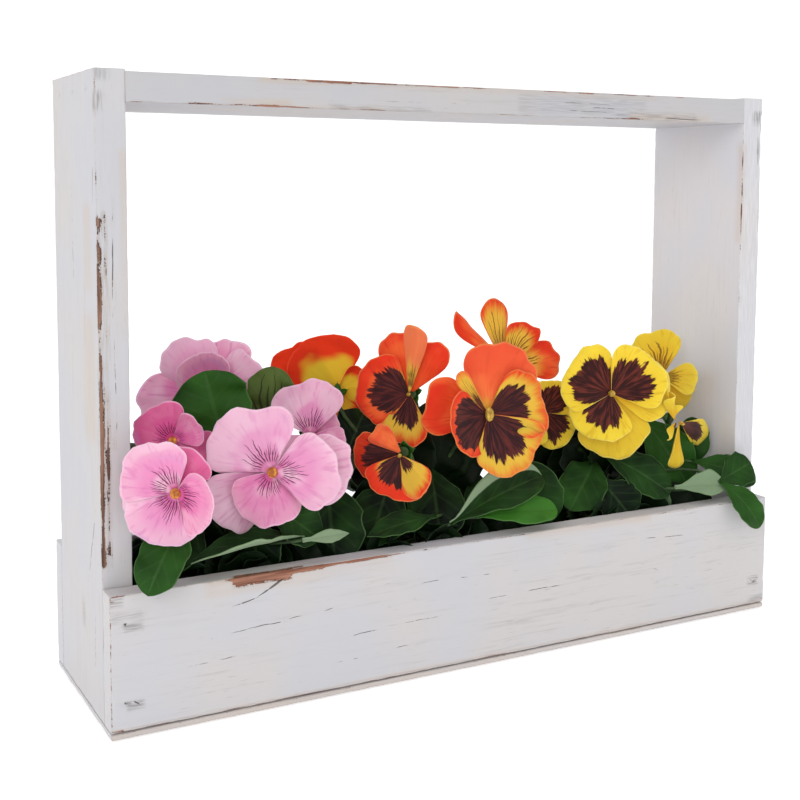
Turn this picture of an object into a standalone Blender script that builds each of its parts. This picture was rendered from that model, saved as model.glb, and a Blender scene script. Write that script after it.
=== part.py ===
"""A whitewashed wooden flower box with a window frame over it and three pansy plants in it.

Units are metres, +Z is up, the front faces -Y. The origin is under the middle of the base board.
The box is six boards held by square wire brads. Soil fills it to about two thirds. Each plant is a
crown in a plain hole in the soil, with stems, calyces and leaves fused to it. Each bloom is two
layers of cut petals, fused at a throat, with a bead as its eye.
"""
import math

import bmesh
import bpy
from mathutils import Matrix, Vector, noise

MM = 0.001
GAP = 0.3 * MM
SCRAP = MM ** 3

# The box
BOX_LENGTH = 432 * MM
BOX_HEIGHT = 331 * MM
END_DEPTH = 87 * MM
END_THICK = 15.8 * MM
RAIL_THICK = 15.4 * MM
RAIL_STEP = 1.0 * MM
FACE_THICK = 13 * MM
FACE_TOP = 73.5 * MM
BASE_THICK = 3 * MM
EDGE_ROUND = 0.8 * MM

# Brads
BRAD_WIDE = 1.6 * MM
BRAD_DEEP = 1.2 * MM
BRAD_LONG = 30 * MM
BRAD_SUNK = 0.8 * MM
BRAD_CHISEL = 0.3
RAIL_BRADS = (-28 * MM, 0, 28 * MM)
FACE_BRADS = (18 * MM, 58 * MM)

# Soil
SOIL_TOP = 45 * MM
SOIL_ROUGH = 2.2 * MM
SOIL_LUMPS = 45
SOIL_CELLS = 8
CROWN_RADIUS = 5 * MM
CROWN_DEEP = 28 * MM
CROWN_ABOVE = 12 * MM
CROWN_SIDES = 8
CROWN_ROOTS = 0.6

# Petals, stems and leaves
PETAL_THICK = 0.7 * MM
PETAL_ROOT = 1.5 * MM
PETAL_ROUND = 0.34
PETAL_WAVE = 1.3 * MM
PETAL_WAVES = 4.2
LAYER_STEP = 1.3 * MM
THROAT_RADIUS = 3.5 * MM
THROAT_HALF = 3.4 * MM
THROAT_TAPER = 0.9
THROAT_SIDES = 8
EYE_HIGH = 1.6 * MM
CALYX_LONG = 6 * MM
CALYX_NARROW = 1.5 * MM
CALYX_SIDES = 6
STEM_RADIUS = 1.2 * MM
STEM_RISE = 0.5
STEM_REACH = 0.25
STEM_NOD = 0.1
STALK_RADIUS = 0.9 * MM
STALK_RISE = 0.35
STALK_REACH = 0.3
LEAF_THICK = 0.7 * MM
LEAF_WAVE = 0.09
LEAF_SCALLOPS = 2.5
LEAF_WIDEST = 0.6
LEAF_SLIM = 1.3
LEAF_FOLD = 0.16
STALK_WIDE = 1.3 * MM
STALK_INTO_LEAF = 0.04

COLOURS = {
    "paint": (0.72, 0.72, 0.74), "wire": (0.2, 0.19, 0.18), "soil": (0.05, 0.035, 0.025),
    "green": (0.03, 0.12, 0.03), "pink": (0.78, 0.32, 0.55), "orange": (0.85, 0.12, 0.02),
    "yellow": (0.88, 0.62, 0.03), "bead": (0.75, 0.35, 0.03),
}

# Where each plant stands, in millimetres from the middle of the box
CROWNS = {"pink": (-130, 4), "orange": (-8, 4), "yellow": (122, 4)}

# Every bloom: plant, centre in mm, turn and tilt of its face in degrees (0, 0 faces the front, a
# positive turn looks to the right), eye radius in mm, and its lobes. A lobe is its angle clockwise
# from the top, reach in mm, half spread, bend towards the face and layer.
BLOOMS = {
    "pink_1": ("pink", (-185, -68, 125), (-26, -4), 2.8, (
        (-26, 29, 68, 20, 1), (84, 26, 66, 44, 2), (212, 30, 68, 8, 0), (26, 31, 50, 6, -1),
        (262, 31, 50, 0, -2))),
    "pink_2": ("pink", (-172, -24, 141), (-24, 10), 2.4, (
        (-30, 22, 66, 22, 1), (52, 20, 52, 46, 2), (180, 20, 62, 16, 0), (112, 28, 40, 8, -1))),
    "pink_3": ("pink", (-136, 20, 155), (-30, 22), 2.4, (
        (-30, 25, 66, 52, 2), (58, 30, 56, 14, 1), (-38, 38, 66, 10, 0), (-86, 42, 58, -6, -1),
        (22, 36, 60, 4, -2), (190, 28, 60, 10, -1))),
    "pink_4": ("pink", (-127, -50, 125), (-22, 6), 3.0, (
        (-24, 39, 74, 14, 1), (84, 36, 62, 26, 2), (193, 32, 70, 12, 0), (226, 42, 40, 12, -1),
        (102, 43, 46, 6, -2))),
    "pink_5": ("pink", (-91, -18, 135), (-20, 8), 2.4, (
        (-14, 33, 56, 14, 1), (118, 27, 50, 18, 2), (220, 28, 54, 18, 0), (46, 27, 40, 4, -1))),
    "orange_1": ("orange", (-56, 20, 153), (152, 14), 2.2, (
        (26, 37, 62, -6, 0), (72, 41, 46, 8, 1), (-75, 26, 54, -24, -1), (-150, 26, 60, 12, 2))),
    "orange_2": ("orange", (-31, -24, 155), (-40, 4), 2.2, (
        (-82, 31, 64, 14, 1), (178, 31, 54, 30, 0), (6, 43, 17, 22, 2), (-22, 37, 48, -6, -1),
        (40, 36, 46, 4, -2))),
    "orange_3": ("orange", (-53, -55, 128), (-44, -4), 2.0, (
        (188, 28, 68, 20, 1), (108, 22, 42, 54, 2), (-40, 22, 52, 24, 0), (-98, 27, 50, 6, -1))),
    "orange_4": ("orange", (7, -48, 144), (-14, 6), 2.2, (
        (62, 36, 60, 14, 1), (158, 37, 62, 12, 2), (252, 34, 62, 50, 0), (-34, 29, 15, 36, 1),
        (16, 41, 56, 8, -1), (276, 38, 36, 18, -2))),
    "orange_5": ("orange", (14, 0, 122), (-30, 6), 2.0, (
        (-64, 22, 56, 16, 1), (56, 20, 54, 22, 2), (184, 23, 52, 10, 0))),
    "orange_6": ("orange", (58, 13, 162), (2, 34), 2.2, (
        (-48, 44, 15, 14, 1), (-8, 44, 24, 26, 0), (44, 37, 30, 24, 2), (104, 37, 22, 16, -1),
        (160, 20, 34, 26, -1), (218, 20, 36, 30, -2))),
    "yellow_1": ("yellow", (104, -36, 147), (-24, 4), 2.0, (
        (-50, 33, 60, 12, 1), (50, 34, 58, 14, 2), (200, 30, 68, 12, 0), (98, 39, 48, 4, -1),
        (173, 41, 48, 2, -2))),
    "yellow_2": ("yellow", (74, -5, 133), (-18, 2), 2.0, (
        (40, 24, 60, 14, 1), (124, 24, 58, 16, 0), (230, 22, 60, 14, 2), (-50, 22, 54, 10, -1))),
    "yellow_3": ("yellow", (172, 4, 150), (-26, 14), 2.0, (
        (-12, 32, 46, 20, 1), (90, 24, 50, 30, 2), (250, 26, 54, 14, -1), (128, 25, 40, 2, -2))),
    "yellow_4": ("yellow", (160, -46, 124), (24, -14), 2.0, (
        (168, 34, 14, 8, 1), (108, 34, 22, 12, 2), (222, 22, 26, 8, 0), (-40, 28, 26, 6, -1),
        (20, 20, 32, 4, -2))),
}

# Every leaf: plant, base and tip in mm, turn and tilt of its upper face, width and arch in mm
LEAVES = (
    ("pink", (-139, -8, 130), (-149, -2, 173), (-28, 10), 42, 3),
    ("pink", (-112, -3, 143), (-107, -3, 173), (-28, 10), 29, 2),
    ("pink", (-170, -46, 104), (-198, -65, 71), (-28, 40), 28, 6),
    ("pink", (-104, -44, 86), (-172, -50, 82), (-28, 60), 24, 4),
    ("pink", (-110, -50, 86), (-82, -49, 83), (-10, 20), 12, 2),
    ("pink", (-125, -26, 98), (-131, -33, 66), (-28, 20), 30, 3),
    ("pink", (-124, -34, 104), (-98, -45, 84), (-28, 35), 24, 3),
    ("pink", (-80, -16, 112), (-85, -38, 66), (-28, 15), 40, 4),
    ("pink", (-152, -14, 92), (-186, -30, 78), (-28, 30), 34, 4),
    ("pink", (-165, 16, 96), (-186, 32, 128), (150, 20), 30, 4),
    ("pink", (-110, 24, 96), (-88, 34, 132), (170, 20), 32, 4),
    ("pink", (-145, 26, 84), (-168, 50, 84), (170, 50), 26, 4),
    ("pink", (-118, 28, 84), (-98, 51, 84), (190, 50), 26, 4),
    ("pink", (-122, 8, 84), (-126, 4, 121), (-28, 0), 34, 3),
    ("orange", (-61, 0, 116), (-46, 4, 142), (-28, 10), 30, 2),
    ("orange", (-38, -14, 104), (-62, -34, 72), (-28, 20), 34, 4),
    ("orange", (-10, -12, 108), (-18, -38, 70), (-28, 20), 36, 4),
    ("orange", (-16, -46, 82), (52, -38, 101), (-20, 50), 26, 4),
    ("orange", (1, -46, 84), (52, -54, 84), (-20, 50), 23, 3),
    ("orange", (-22, -40, 86), (-70, -47, 82), (-30, 50), 18, 2),
    ("orange", (40, -14, 112), (60, -38, 72), (-28, 20), 36, 4),
    ("orange", (18, -10, 100), (24, -34, 70), (-20, 20), 30, 4),
    ("orange", (-36, 22, 96), (-62, 34, 125), (170, 20), 30, 4),
    ("orange", (4, 26, 96), (22, 38, 134), (180, 20), 32, 4),
    ("orange", (-26, 28, 84), (-48, 51, 84), (170, 50), 26, 4),
    ("orange", (12, 28, 84), (36, 51, 84), (190, 50), 26, 4),
    ("yellow", (112, -12, 100), (76, -34, 76), (-28, 30), 32, 4),
    ("yellow", (103, -26, 92), (117, -42, 68), (-28, 25), 30, 3),
    ("yellow", (109, -20, 106), (148, -42, 80), (-28, 40), 28, 4),
    ("yellow", (148, -10, 126), (174, -28, 80), (-28, 30), 36, 4),
    ("yellow", (150, -44, 84), (190, -51, 82), (-28, 40), 16, 2),
    ("yellow", (181, -50, 86), (203, -55, 97), (-28, 20), 24, 2),
    ("yellow", (176, -30, 96), (207, -56, 84), (-28, 50), 24, 3),
    ("yellow", (182, -50, 86), (200, -68, 58), (-28, 40), 20, 6),
    ("yellow", (184, -20, 84), (186, -18, 122), (-28, 0), 24, 2),
    ("yellow", (138, -22, 88), (140, -38, 62), (-28, 20), 32, 3),
    ("yellow", (142, 22, 98), (166, 34, 130), (170, 20), 32, 4),
    ("yellow", (104, 24, 98), (82, 34, 128), (190, 20), 32, 4),
    ("yellow", (134, 28, 84), (158, 51, 84), (180, 50), 26, 4),
    ("yellow", (104, 28, 84), (80, 51, 84), (190, 50), 26, 4),
    ("yellow", (98, 8, 92), (82, 12, 122), (-28, 10), 34, 3),
    ("yellow", (106, 14, 74), (110, 12, 108), (-28, 0), 30, 3),
)


def material(name):
    """The plain finish of one kind of piece."""
    found = bpy.data.materials.get(name)
    if found:
        return found
    made = bpy.data.materials.new(name)
    made.use_nodes = True
    shader = made.node_tree.nodes["Principled BSDF"]
    shader.inputs["Base Color"].default_value = (*COLOURS[name], 1)
    shader.inputs["Roughness"].default_value = 0.35 if name == "bead" else 0.75
    shader.inputs["Metallic"].default_value = 1.0 if name == "wire" else 0.0
    return made


def new_object(name, mesh, finish=None):
    """A new object in the flower box's collection, with the finish of its kind."""
    obj = bpy.data.objects.new(name, mesh)
    box.objects.link(obj)
    if finish:
        mesh.materials.clear()
        mesh.materials.append(material(finish))
    return obj


def from_bmesh(name, shape, finish=None):
    mesh = bpy.data.meshes.new(name)
    shape.to_mesh(mesh)
    shape.free()
    return new_object(name, mesh, finish)


def block(name, low, high, finish=None):
    """A box between two corners, with its origin at its middle."""
    low, high = Vector(low), Vector(high)
    shape = bmesh.new()
    bmesh.ops.create_cube(shape, size=1)
    bmesh.ops.scale(shape, vec=high - low, verts=shape.verts)
    obj = from_bmesh(name, shape, finish)
    obj.location = (low + high) / 2
    return obj


def frustum(name, radius_low, radius_high, low, high, sides=CROWN_SIDES):
    """A cone's slice that stands on local Z from low to high."""
    shape = bmesh.new()
    bmesh.ops.create_cone(shape, cap_ends=True, segments=sides, radius1=radius_low,
                          radius2=radius_high, depth=high - low,
                          matrix=Matrix.Translation((0, 0, (low + high) / 2)))
    return from_bmesh(name, shape)


def evaluated(obj):
    """The object's mesh with its modifiers applied."""
    bpy.context.view_layer.update()
    graph = bpy.context.evaluated_depsgraph_get()
    return bpy.data.meshes.new_from_object(obj.evaluated_get(graph))


def discard(obj):
    bpy.data.objects.remove(obj, do_unlink=True)


def skins(shape):
    """The vertices of each closed skin of a mesh, as sets."""
    left = set(shape.verts)
    found = []
    while left:
        skin = set()
        edge_of_skin = [left.pop()]
        while edge_of_skin:
            vertex = edge_of_skin.pop()
            skin.add(vertex)
            beside = {edge.other_vert(vertex) for edge in vertex.link_edges} & left
            left -= beside
            edge_of_skin += beside
        found.append(skin)
    return found


def volume_in(skin):
    """What a skin encloses. A hollow's skin faces inwards, so its volume is below nought."""
    faces = {face for vertex in skin for face in vertex.link_faces}
    return sum(face.calc_center_median().dot(face.normal) * face.calc_area() for face in faces) / 3


def fill_hollows(mesh):
    """Fills what a union has sealed off inside a mesh, and drops its scraps."""
    shape = bmesh.new()
    shape.from_mesh(mesh)
    needless = [vertex for skin in skins(shape) if volume_in(skin) < SCRAP for vertex in skin]
    bmesh.ops.delete(shape, geom=needless, context="VERTS")
    shape.to_mesh(mesh)
    shape.free()


def fuse(name, bodies, finish):
    """One closed body from several that overlap; the separate ones are removed."""
    first, others = bodies[0], bodies[1:]
    group = bpy.data.collections.new(name)
    for other in others:
        group.objects.link(other)
    union = first.modifiers.new("Union", "BOOLEAN")
    union.operation = "UNION"
    union.operand_type = "COLLECTION"
    union.collection = group
    union.solver = "MANIFOLD"
    mesh = evaluated(first)
    fill_hollows(mesh)
    whole = new_object(name, mesh, finish)
    for body in bodies:
        discard(body)
    bpy.data.collections.remove(group)
    return whole


def sheet(name, across, along, place, thick):
    """A thin closed blade. place(u, v) gives a point, u in -1..1 and v in 0..1. Its cells are
    split before it is thickened, so that both faces are split alike."""
    shape = bmesh.new()
    bmesh.ops.create_grid(shape, x_segments=across, y_segments=along, size=1)
    bmesh.ops.triangulate(shape, faces=shape.faces, quad_method="FIXED")
    for vertex in shape.verts:
        vertex.co = place(vertex.co.x, (vertex.co.y + 1) / 2)
    obj = from_bmesh(name, shape)
    shell = obj.modifiers.new("Thickness", "SOLIDIFY")
    shell.thickness = thick
    shell.offset = 0
    mesh = evaluated(obj)
    discard(obj)
    return new_object(name, mesh)


def smooth_route(start, leave, arrive, end, steps):
    """Points along a cubic curve from start to end, with its two handles."""
    route = []
    for i in range(steps + 1):
        t = i / steps
        s = 1 - t
        route.append(start * s ** 3 + leave * 3 * s * s * t + arrive * 3 * s * t * t + end * t ** 3)
    return route


def tube(name, route, radius, roundness):
    """A round bar along the points of a route, as a closed mesh."""
    curve = bpy.data.curves.new(name, "CURVE")
    curve.dimensions = "3D"
    curve.bevel_depth = radius
    curve.bevel_resolution = roundness
    curve.use_fill_caps = True
    spline = curve.splines.new("POLY")
    spline.points.add(len(route) - 1)
    for point, place in zip(spline.points, route):
        point.co = (*place, 1)
    guide = bpy.data.objects.new(name, curve)
    box.objects.link(guide)
    mesh = evaluated(guide)
    discard(guide)
    shape = bmesh.new()
    shape.from_mesh(mesh)
    bmesh.ops.remove_doubles(shape, verts=shape.verts, dist=0.01 * MM)
    return from_bmesh(name, shape)


def bore_cutter(name, nail):
    """The hole that a brad leaves: the brad's own box, a little wider and open at its head."""
    shape = bmesh.new()
    bmesh.ops.create_cube(shape, size=1)
    bmesh.ops.scale(shape, vec=(BRAD_WIDE + 2 * GAP, BRAD_DEEP + 2 * GAP,
                                BRAD_LONG + 2 * BRAD_SUNK + GAP), verts=shape.verts)
    cutter = from_bmesh(name, shape)
    cutter.matrix_world = nail.matrix_world @ Matrix.Translation((0, 0, BRAD_SUNK - GAP / 2))
    set_aside(cutter)


def set_aside(cutter):
    """A cutter is drawn as wires and kept out of the flower box's own collection."""
    cutter.hide_render = True
    cutter.display_type = "WIRE"
    box.objects.unlink(cutter)
    cutters.objects.link(cutter)


def brad(name, head, into):
    """A square brad: its head lies sunk below the point head, its chisel point goes into."""
    shape = bmesh.new()
    bmesh.ops.create_cube(shape, size=1)
    bmesh.ops.scale(shape, vec=(BRAD_WIDE, BRAD_DEEP, BRAD_LONG), verts=shape.verts)
    for vertex in shape.verts:
        if vertex.co.z < 0:
            vertex.co.y *= BRAD_CHISEL
    nail = from_bmesh(name, shape, "wire")
    into = Vector(into).normalized()
    centre = Vector(head) + into * (BRAD_SUNK + BRAD_LONG / 2)
    turn = (-into).to_track_quat("Z", "Y").to_matrix().to_4x4()
    nail.matrix_world = Matrix.Translation(centre) @ turn
    bore_cutter(name + "_bore", nail)


def build_brads():
    half_length = BOX_LENGTH / 2
    rail_z = BOX_HEIGHT - RAIL_STEP - RAIL_THICK / 2
    face_y = END_DEPTH / 2 + GAP + FACE_THICK
    end_x = half_length - END_THICK / 2
    for side, sign in (("left", -1), ("right", 1)):
        for i, y in enumerate(RAIL_BRADS, 1):
            brad(f"brad_rail_{side}_{i}", (sign * half_length, y, rail_z), (-sign, 0, 0))
        for i, z in enumerate(FACE_BRADS, 1):
            brad(f"brad_front_{side}_{i}", (sign * end_x, -face_y, z), (0, 1, 0))
            brad(f"brad_back_{side}_{i}", (sign * end_x, face_y, z), (0, -1, 0))
        brad(f"brad_base_{side}", (sign * end_x, 0, 0), (0, 0, 1))


def board(name, low, high):
    """A board with eased edges and the bores of the brads that pass through it."""
    obj = block(name, low, high, "paint")
    ease = obj.modifiers.new("Eased edges", "BEVEL")
    ease.width = EDGE_ROUND
    ease.segments = 1
    bores = obj.modifiers.new("Brad bores", "BOOLEAN")
    bores.operation = "DIFFERENCE"
    bores.operand_type = "COLLECTION"
    bores.collection = cutters
    bores.solver = "EXACT"
    return obj


def build_boards():
    x = BOX_LENGTH / 2
    y = END_DEPTH / 2
    face_y = y + GAP + FACE_THICK
    floor = BASE_THICK + GAP
    rail_top = BOX_HEIGHT - RAIL_STEP
    rail_x = x - END_THICK - GAP
    board("side_left", (-x, -y, floor), (-x + END_THICK, y, BOX_HEIGHT))
    board("side_right", (x - END_THICK, -y, floor), (x, y, BOX_HEIGHT))
    board("top_rail", (-rail_x, -y, rail_top - RAIL_THICK), (rail_x, y, rail_top))
    board("front_board", (-x, -face_y, floor), (x, -y - GAP, FACE_TOP))
    board("back_board", (-x, y + GAP, floor), (x, face_y, FACE_TOP))
    board("base_board", (-x, -face_y, 0), (x, face_y, BASE_THICK))


def soil_block():
    """The soil's block, split on a grid, with its top face made uneven."""
    x = BOX_LENGTH / 2 - END_THICK - GAP
    y = END_DEPTH / 2 - GAP
    low = BASE_THICK + GAP
    shape = bmesh.new()
    bmesh.ops.create_cube(shape, size=1)
    bmesh.ops.scale(shape, vec=(2 * x, 2 * y, SOIL_TOP - low), verts=shape.verts)
    bmesh.ops.translate(shape, vec=(0, 0, (SOIL_TOP + low) / 2), verts=shape.verts)
    lengthwise = [edge for edge in shape.edges if edge.calc_length() > x]
    bmesh.ops.subdivide_edges(shape, edges=lengthwise, cuts=SOIL_CELLS - 1, use_grid_fill=True)
    crosswise = [edge for edge in shape.edges
                 if abs(edge.verts[0].co.y - edge.verts[1].co.y) > y]
    bmesh.ops.subdivide_edges(shape, edges=crosswise, cuts=1, use_grid_fill=True)
    for vertex in shape.verts:
        if vertex.co.z > SOIL_TOP - GAP:
            vertex.co.z += SOIL_ROUGH * noise.noise(vertex.co * SOIL_LUMPS)
    return from_bmesh("soil", shape, "soil")


def build_soil():
    """Soil between the boards, with a plain hole for each plant's crown."""
    soil = soil_block()
    for plant, (crown_x, crown_y) in CROWNS.items():
        hole = frustum(plant + "_hole", CROWN_RADIUS + GAP, CROWN_RADIUS + GAP,
                       SOIL_TOP - CROWN_DEEP - GAP, SOIL_TOP + CROWN_DEEP)
        hole.location = (crown_x * MM, crown_y * MM, 0)
        set_aside(hole)
        cut = soil.modifiers.new(plant + " hole", "BOOLEAN")
        cut.operation = "DIFFERENCE"
        cut.object = hole
        cut.solver = "EXACT"


def bloom_frame(bloom):
    """The bloom's own axes: X to the right of its face, Y up it and Z out of it."""
    _plant, centre, (turn, tilt), _eye, _lobes = bloom
    return (Matrix.Translation(Vector(centre) * MM)
            @ Matrix.Rotation(math.radians(turn), 4, "Z")
            @ Matrix.Rotation(math.radians(90 - tilt), 4, "X"))


def petal_point(lobe, u, v):
    """A point of a petal: u runs across it, v from the throat to the rim."""
    angle, reach, spread, bend, layer = lobe
    reach *= MM
    root = PETAL_ROOT
    rim = root + MM + (reach - root - MM) * max(math.cos(math.pi / 2 * u), 0) ** PETAL_ROUND
    run = root + (rim - root) * v
    heading = math.radians(angle + spread * math.sin(math.pi / 2 * u))
    curve = math.radians(bend) / reach or 1e-6
    out = math.sin(curve * run) / curve
    rise = (1 - math.cos(curve * run)) / curve
    wave = PETAL_WAVE * (run / reach) ** 2 * math.sin(PETAL_WAVES * u + angle)
    return Vector((out * math.sin(heading), out * math.cos(heading),
                   rise + wave + layer * LAYER_STEP))


def build_bloom(name, bloom):
    """The petals, fused at their throat, and the bead in the middle."""
    _plant, _centre, _face, eye_radius, lobes = bloom
    bodies = [frustum("throat", THROAT_RADIUS, THROAT_RADIUS * THROAT_TAPER,
                      -THROAT_HALF, THROAT_HALF, THROAT_SIDES)]
    for lobe in lobes:
        across = 6 if lobe[4] >= 0 else 5
        bodies.append(sheet("lobe", across, 2, lambda u, v, lobe=lobe: petal_point(lobe, u, v),
                            PETAL_THICK))
    petals = fuse(name + "_petals", bodies, bloom[0])
    petals.matrix_world = bloom_frame(bloom)
    shape = bmesh.new()
    bmesh.ops.create_uvsphere(shape, u_segments=6, v_segments=3, radius=1)
    bmesh.ops.scale(shape, vec=(eye_radius * MM, eye_radius * MM, EYE_HIGH), verts=shape.verts)
    bead = from_bmesh(name + "_eye", shape, "bead")
    bead.matrix_world = bloom_frame(bloom) @ Matrix.Translation(
        (0, 0, THROAT_HALF + GAP + EYE_HIGH))


def crown_top(plant):
    x, y = CROWNS[plant]
    return Vector((x * MM, y * MM, SOIL_TOP + CROWN_ABOVE * CROWN_ROOTS))


def bloom_stem(bloom):
    """A calyx behind the bloom and a stem from the plant's crown into it."""
    frame = bloom_frame(bloom)
    calyx = frustum("calyx", CALYX_NARROW, THROAT_RADIUS * THROAT_TAPER,
                    -THROAT_HALF - GAP - CALYX_LONG, -THROAT_HALF - GAP, CALYX_SIDES)
    calyx.data.transform(frame)
    start = crown_top(bloom[0])
    end = frame @ Vector((0, 0, -THROAT_HALF - CALYX_LONG))
    back = (frame.to_3x3() @ Vector((0, 0, -1))).normalized()
    height = end.z - start.z
    leave = start + Vector((0, 0, height * STEM_RISE))
    arrive = end + back * height * STEM_REACH - Vector((0, 0, height * STEM_NOD))
    route = smooth_route(start, leave, arrive, end, 3)
    return [calyx, tube("stem", route, STEM_RADIUS, 0)]


def leaf_frame(leaf):
    """The leaf's base, length and three directions: along it, across it and out of its face."""
    _plant, base, tip, (turn, tilt), _width, _arch = leaf
    base, tip = Vector(base) * MM, Vector(tip) * MM
    along = (tip - base).normalized()
    turn, tilt = math.radians(turn), math.radians(tilt)
    looks = Vector((math.sin(turn) * math.cos(tilt), -math.cos(turn) * math.cos(tilt),
                    math.sin(tilt)))
    across = along.cross(looks).normalized()
    return base, (tip - base).length, along, across, across.cross(along)


def leaf_half_width(width, v):
    """Half the width of a spoon-shaped leaf, with its scalloped margin."""
    if v < LEAF_WIDEST:
        shape = math.sin(math.pi / 2 * v / LEAF_WIDEST) ** LEAF_SLIM
    else:
        shape = math.sqrt(max(1 - ((v - LEAF_WIDEST) / (1 - LEAF_WIDEST)) ** 2, 0))
    scallop = 1 + LEAF_WAVE * math.cos(2 * math.pi * LEAF_SCALLOPS * v)
    return max(width / 2 * MM * shape * scallop, STALK_WIDE)


def leaf_point(leaf, u, v):
    """A point of a leaf: u runs across it, v from its base to its tip."""
    base, length, along, across, out = leaf_frame(leaf)
    _plant, _base, _tip, _looks, width, arch = leaf
    v = math.sin(math.pi / 2 * v)
    half = leaf_half_width(width, v)
    swell = arch * MM * 4 * v * (1 - v)
    fold = LEAF_FOLD * half * abs(u)
    wave = LEAF_WAVE * half * abs(u) * math.sin(2 * math.pi * LEAF_SCALLOPS * v + 2 * u)
    return base + along * length * v + across * half * u + out * (swell + fold + wave)


def leaf_bodies(leaf):
    """A blade, and the stalk that carries it from the plant's crown."""
    base, length, along, _across, _out = leaf_frame(leaf)
    start = crown_top(leaf[0])
    span = (base - start).length
    route = smooth_route(start, start + Vector((0, 0, span * STALK_RISE)),
                         base - along * span * STALK_REACH,
                         leaf_point(leaf, 0, STALK_INTO_LEAF), 3)
    blade = sheet("blade", 2, 5, lambda u, v: leaf_point(leaf, u, v), LEAF_THICK)
    return [blade, tube("stalk", route, STALK_RADIUS, 0)]


def build_plant(plant):
    x, y = CROWNS[plant]
    crown = frustum("crown", CROWN_RADIUS, CROWN_RADIUS, SOIL_TOP - CROWN_DEEP,
                    SOIL_TOP + CROWN_ABOVE)
    crown.data.transform(Matrix.Translation((x * MM, y * MM, 0)))
    bodies = [crown]
    for bloom in BLOOMS.values():
        if bloom[0] == plant:
            bodies += bloom_stem(bloom)
    for leaf in LEAVES:
        if leaf[0] == plant:
            bodies += leaf_bodies(leaf)
    fuse(plant + "_plant_green", bodies, "green")


def build():
    for name, bloom in BLOOMS.items():
        build_bloom(name, bloom)
    for plant in CROWNS:
        build_plant(plant)
    build_soil()
    build_brads()
    build_boards()


for old in list(bpy.data.objects):
    bpy.data.objects.remove(old, do_unlink=True)
box = bpy.data.collections.new("flower_box")
cutters = bpy.data.collections.new("cutters")
bpy.context.scene.collection.children.link(box)
bpy.context.scene.collection.children.link(cutters)
build()
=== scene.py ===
# %% [markdown]
# # A whitewashed flower box with pansies
# The real thing is a small crate of planed boards with a window frame standing over it. It is painted
# white, rubbed back to bare wood in places, and planted with three cloth pansy plants. The packed
# solids fix where every piece is. This script loads them and gives each piece its looks. Only some
# petals and leaves are moved or cut a little, to follow the picture.

# %% Load the solids and note their box
import collections
import math
import random

import bmesh
import bpy
from mathutils import Color, Matrix, Vector, noise


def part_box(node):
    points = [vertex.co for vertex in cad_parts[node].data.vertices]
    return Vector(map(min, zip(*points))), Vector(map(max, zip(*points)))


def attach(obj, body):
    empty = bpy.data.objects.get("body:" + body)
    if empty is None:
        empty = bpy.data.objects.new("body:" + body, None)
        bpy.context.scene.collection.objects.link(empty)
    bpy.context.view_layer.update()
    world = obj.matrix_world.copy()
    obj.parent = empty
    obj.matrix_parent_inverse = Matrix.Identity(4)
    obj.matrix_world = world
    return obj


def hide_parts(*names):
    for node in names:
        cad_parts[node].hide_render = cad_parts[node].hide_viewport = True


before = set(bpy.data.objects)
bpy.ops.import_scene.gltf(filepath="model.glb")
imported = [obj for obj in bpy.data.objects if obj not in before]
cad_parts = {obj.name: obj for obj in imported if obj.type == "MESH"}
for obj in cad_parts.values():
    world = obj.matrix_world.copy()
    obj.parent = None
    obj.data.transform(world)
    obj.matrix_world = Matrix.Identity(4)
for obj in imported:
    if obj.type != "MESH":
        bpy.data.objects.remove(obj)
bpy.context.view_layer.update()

MM = 0.001

# %% [markdown]
# ## The camera
# The picture was taken from the left of the box, a little below its top. The camera looks nearly
# level and its frame is shifted down, which keeps the upright boards as nearly parallel as they are
# in the picture.

# %% The camera at the picture's angle
CAMERA_PLACE = Vector((-0.373, -0.65075, 0.2756))
CAMERA_TURN = math.radians(-28.15)
CAMERA_TILT = math.radians(-4.98)
CAMERA_ROLL = math.radians(0.23)
CAMERA_LENS = 56.374
CAMERA_SHIFT = -0.1339


def build_camera():
    lens = bpy.data.cameras.new("camera")
    lens.lens = CAMERA_LENS
    lens.sensor_width = 36
    lens.shift_y = CAMERA_SHIFT
    camera = bpy.data.objects.new("camera", lens)
    camera.matrix_world = (Matrix.Translation(CAMERA_PLACE)
                           @ Matrix.Rotation(CAMERA_TURN, 4, "Z")
                           @ Matrix.Rotation(math.pi / 2 + CAMERA_TILT, 4, "X")
                           @ Matrix.Rotation(CAMERA_ROLL, 4, "Z"))
    bpy.context.scene.collection.objects.link(camera)
    bpy.context.scene.camera = camera
    return camera


print("camera:", [round(c, 3) for c in build_camera().location])

# %% [markdown]
# ## Node tools
# Every finish here is made of shader nodes, with no pictures. Short helpers each add a node and hand
# back the socket that the next one needs. Colours are written as they look on a screen, from 0 to
# 255, and turned into linear values.

# %% Helpers that add shader nodes
def linear(*screen):
    """The linear colour of a screen colour whose parts run from 0 to 255."""
    return (*Color([part / 255 for part in screen]).from_srgb_to_scene_linear(), 1.0)


def feed(tree, node, feeds):
    """Gives a node's input sockets, by name or number, their values and links."""
    for key, value in feeds.items():
        if isinstance(value, bpy.types.NodeSocket):
            tree.links.new(value, node.inputs[key])
        else:
            node.inputs[key].default_value = value
    return node


def add_node(tree, kind, feeds, **settings):
    made = tree.nodes.new("ShaderNode" + kind)
    for name, value in settings.items():
        setattr(made, name, value)
    return feed(tree, made, feeds)


def axes(tree, vector):
    """The three parts of a vector, as sockets."""
    return add_node(tree, "SeparateXYZ", {0: vector}).outputs


def vector_of(tree, x, y, z):
    return add_node(tree, "CombineXYZ", {0: x, 1: y, 2: z}).outputs[0]


def object_place(tree):
    """A point's place on its object, and so in the world."""
    return add_node(tree, "TexCoord", {}).outputs["Object"]


def attribute(tree, name):
    return add_node(tree, "Attribute", {}, attribute_name=name).outputs["Fac"]


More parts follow.
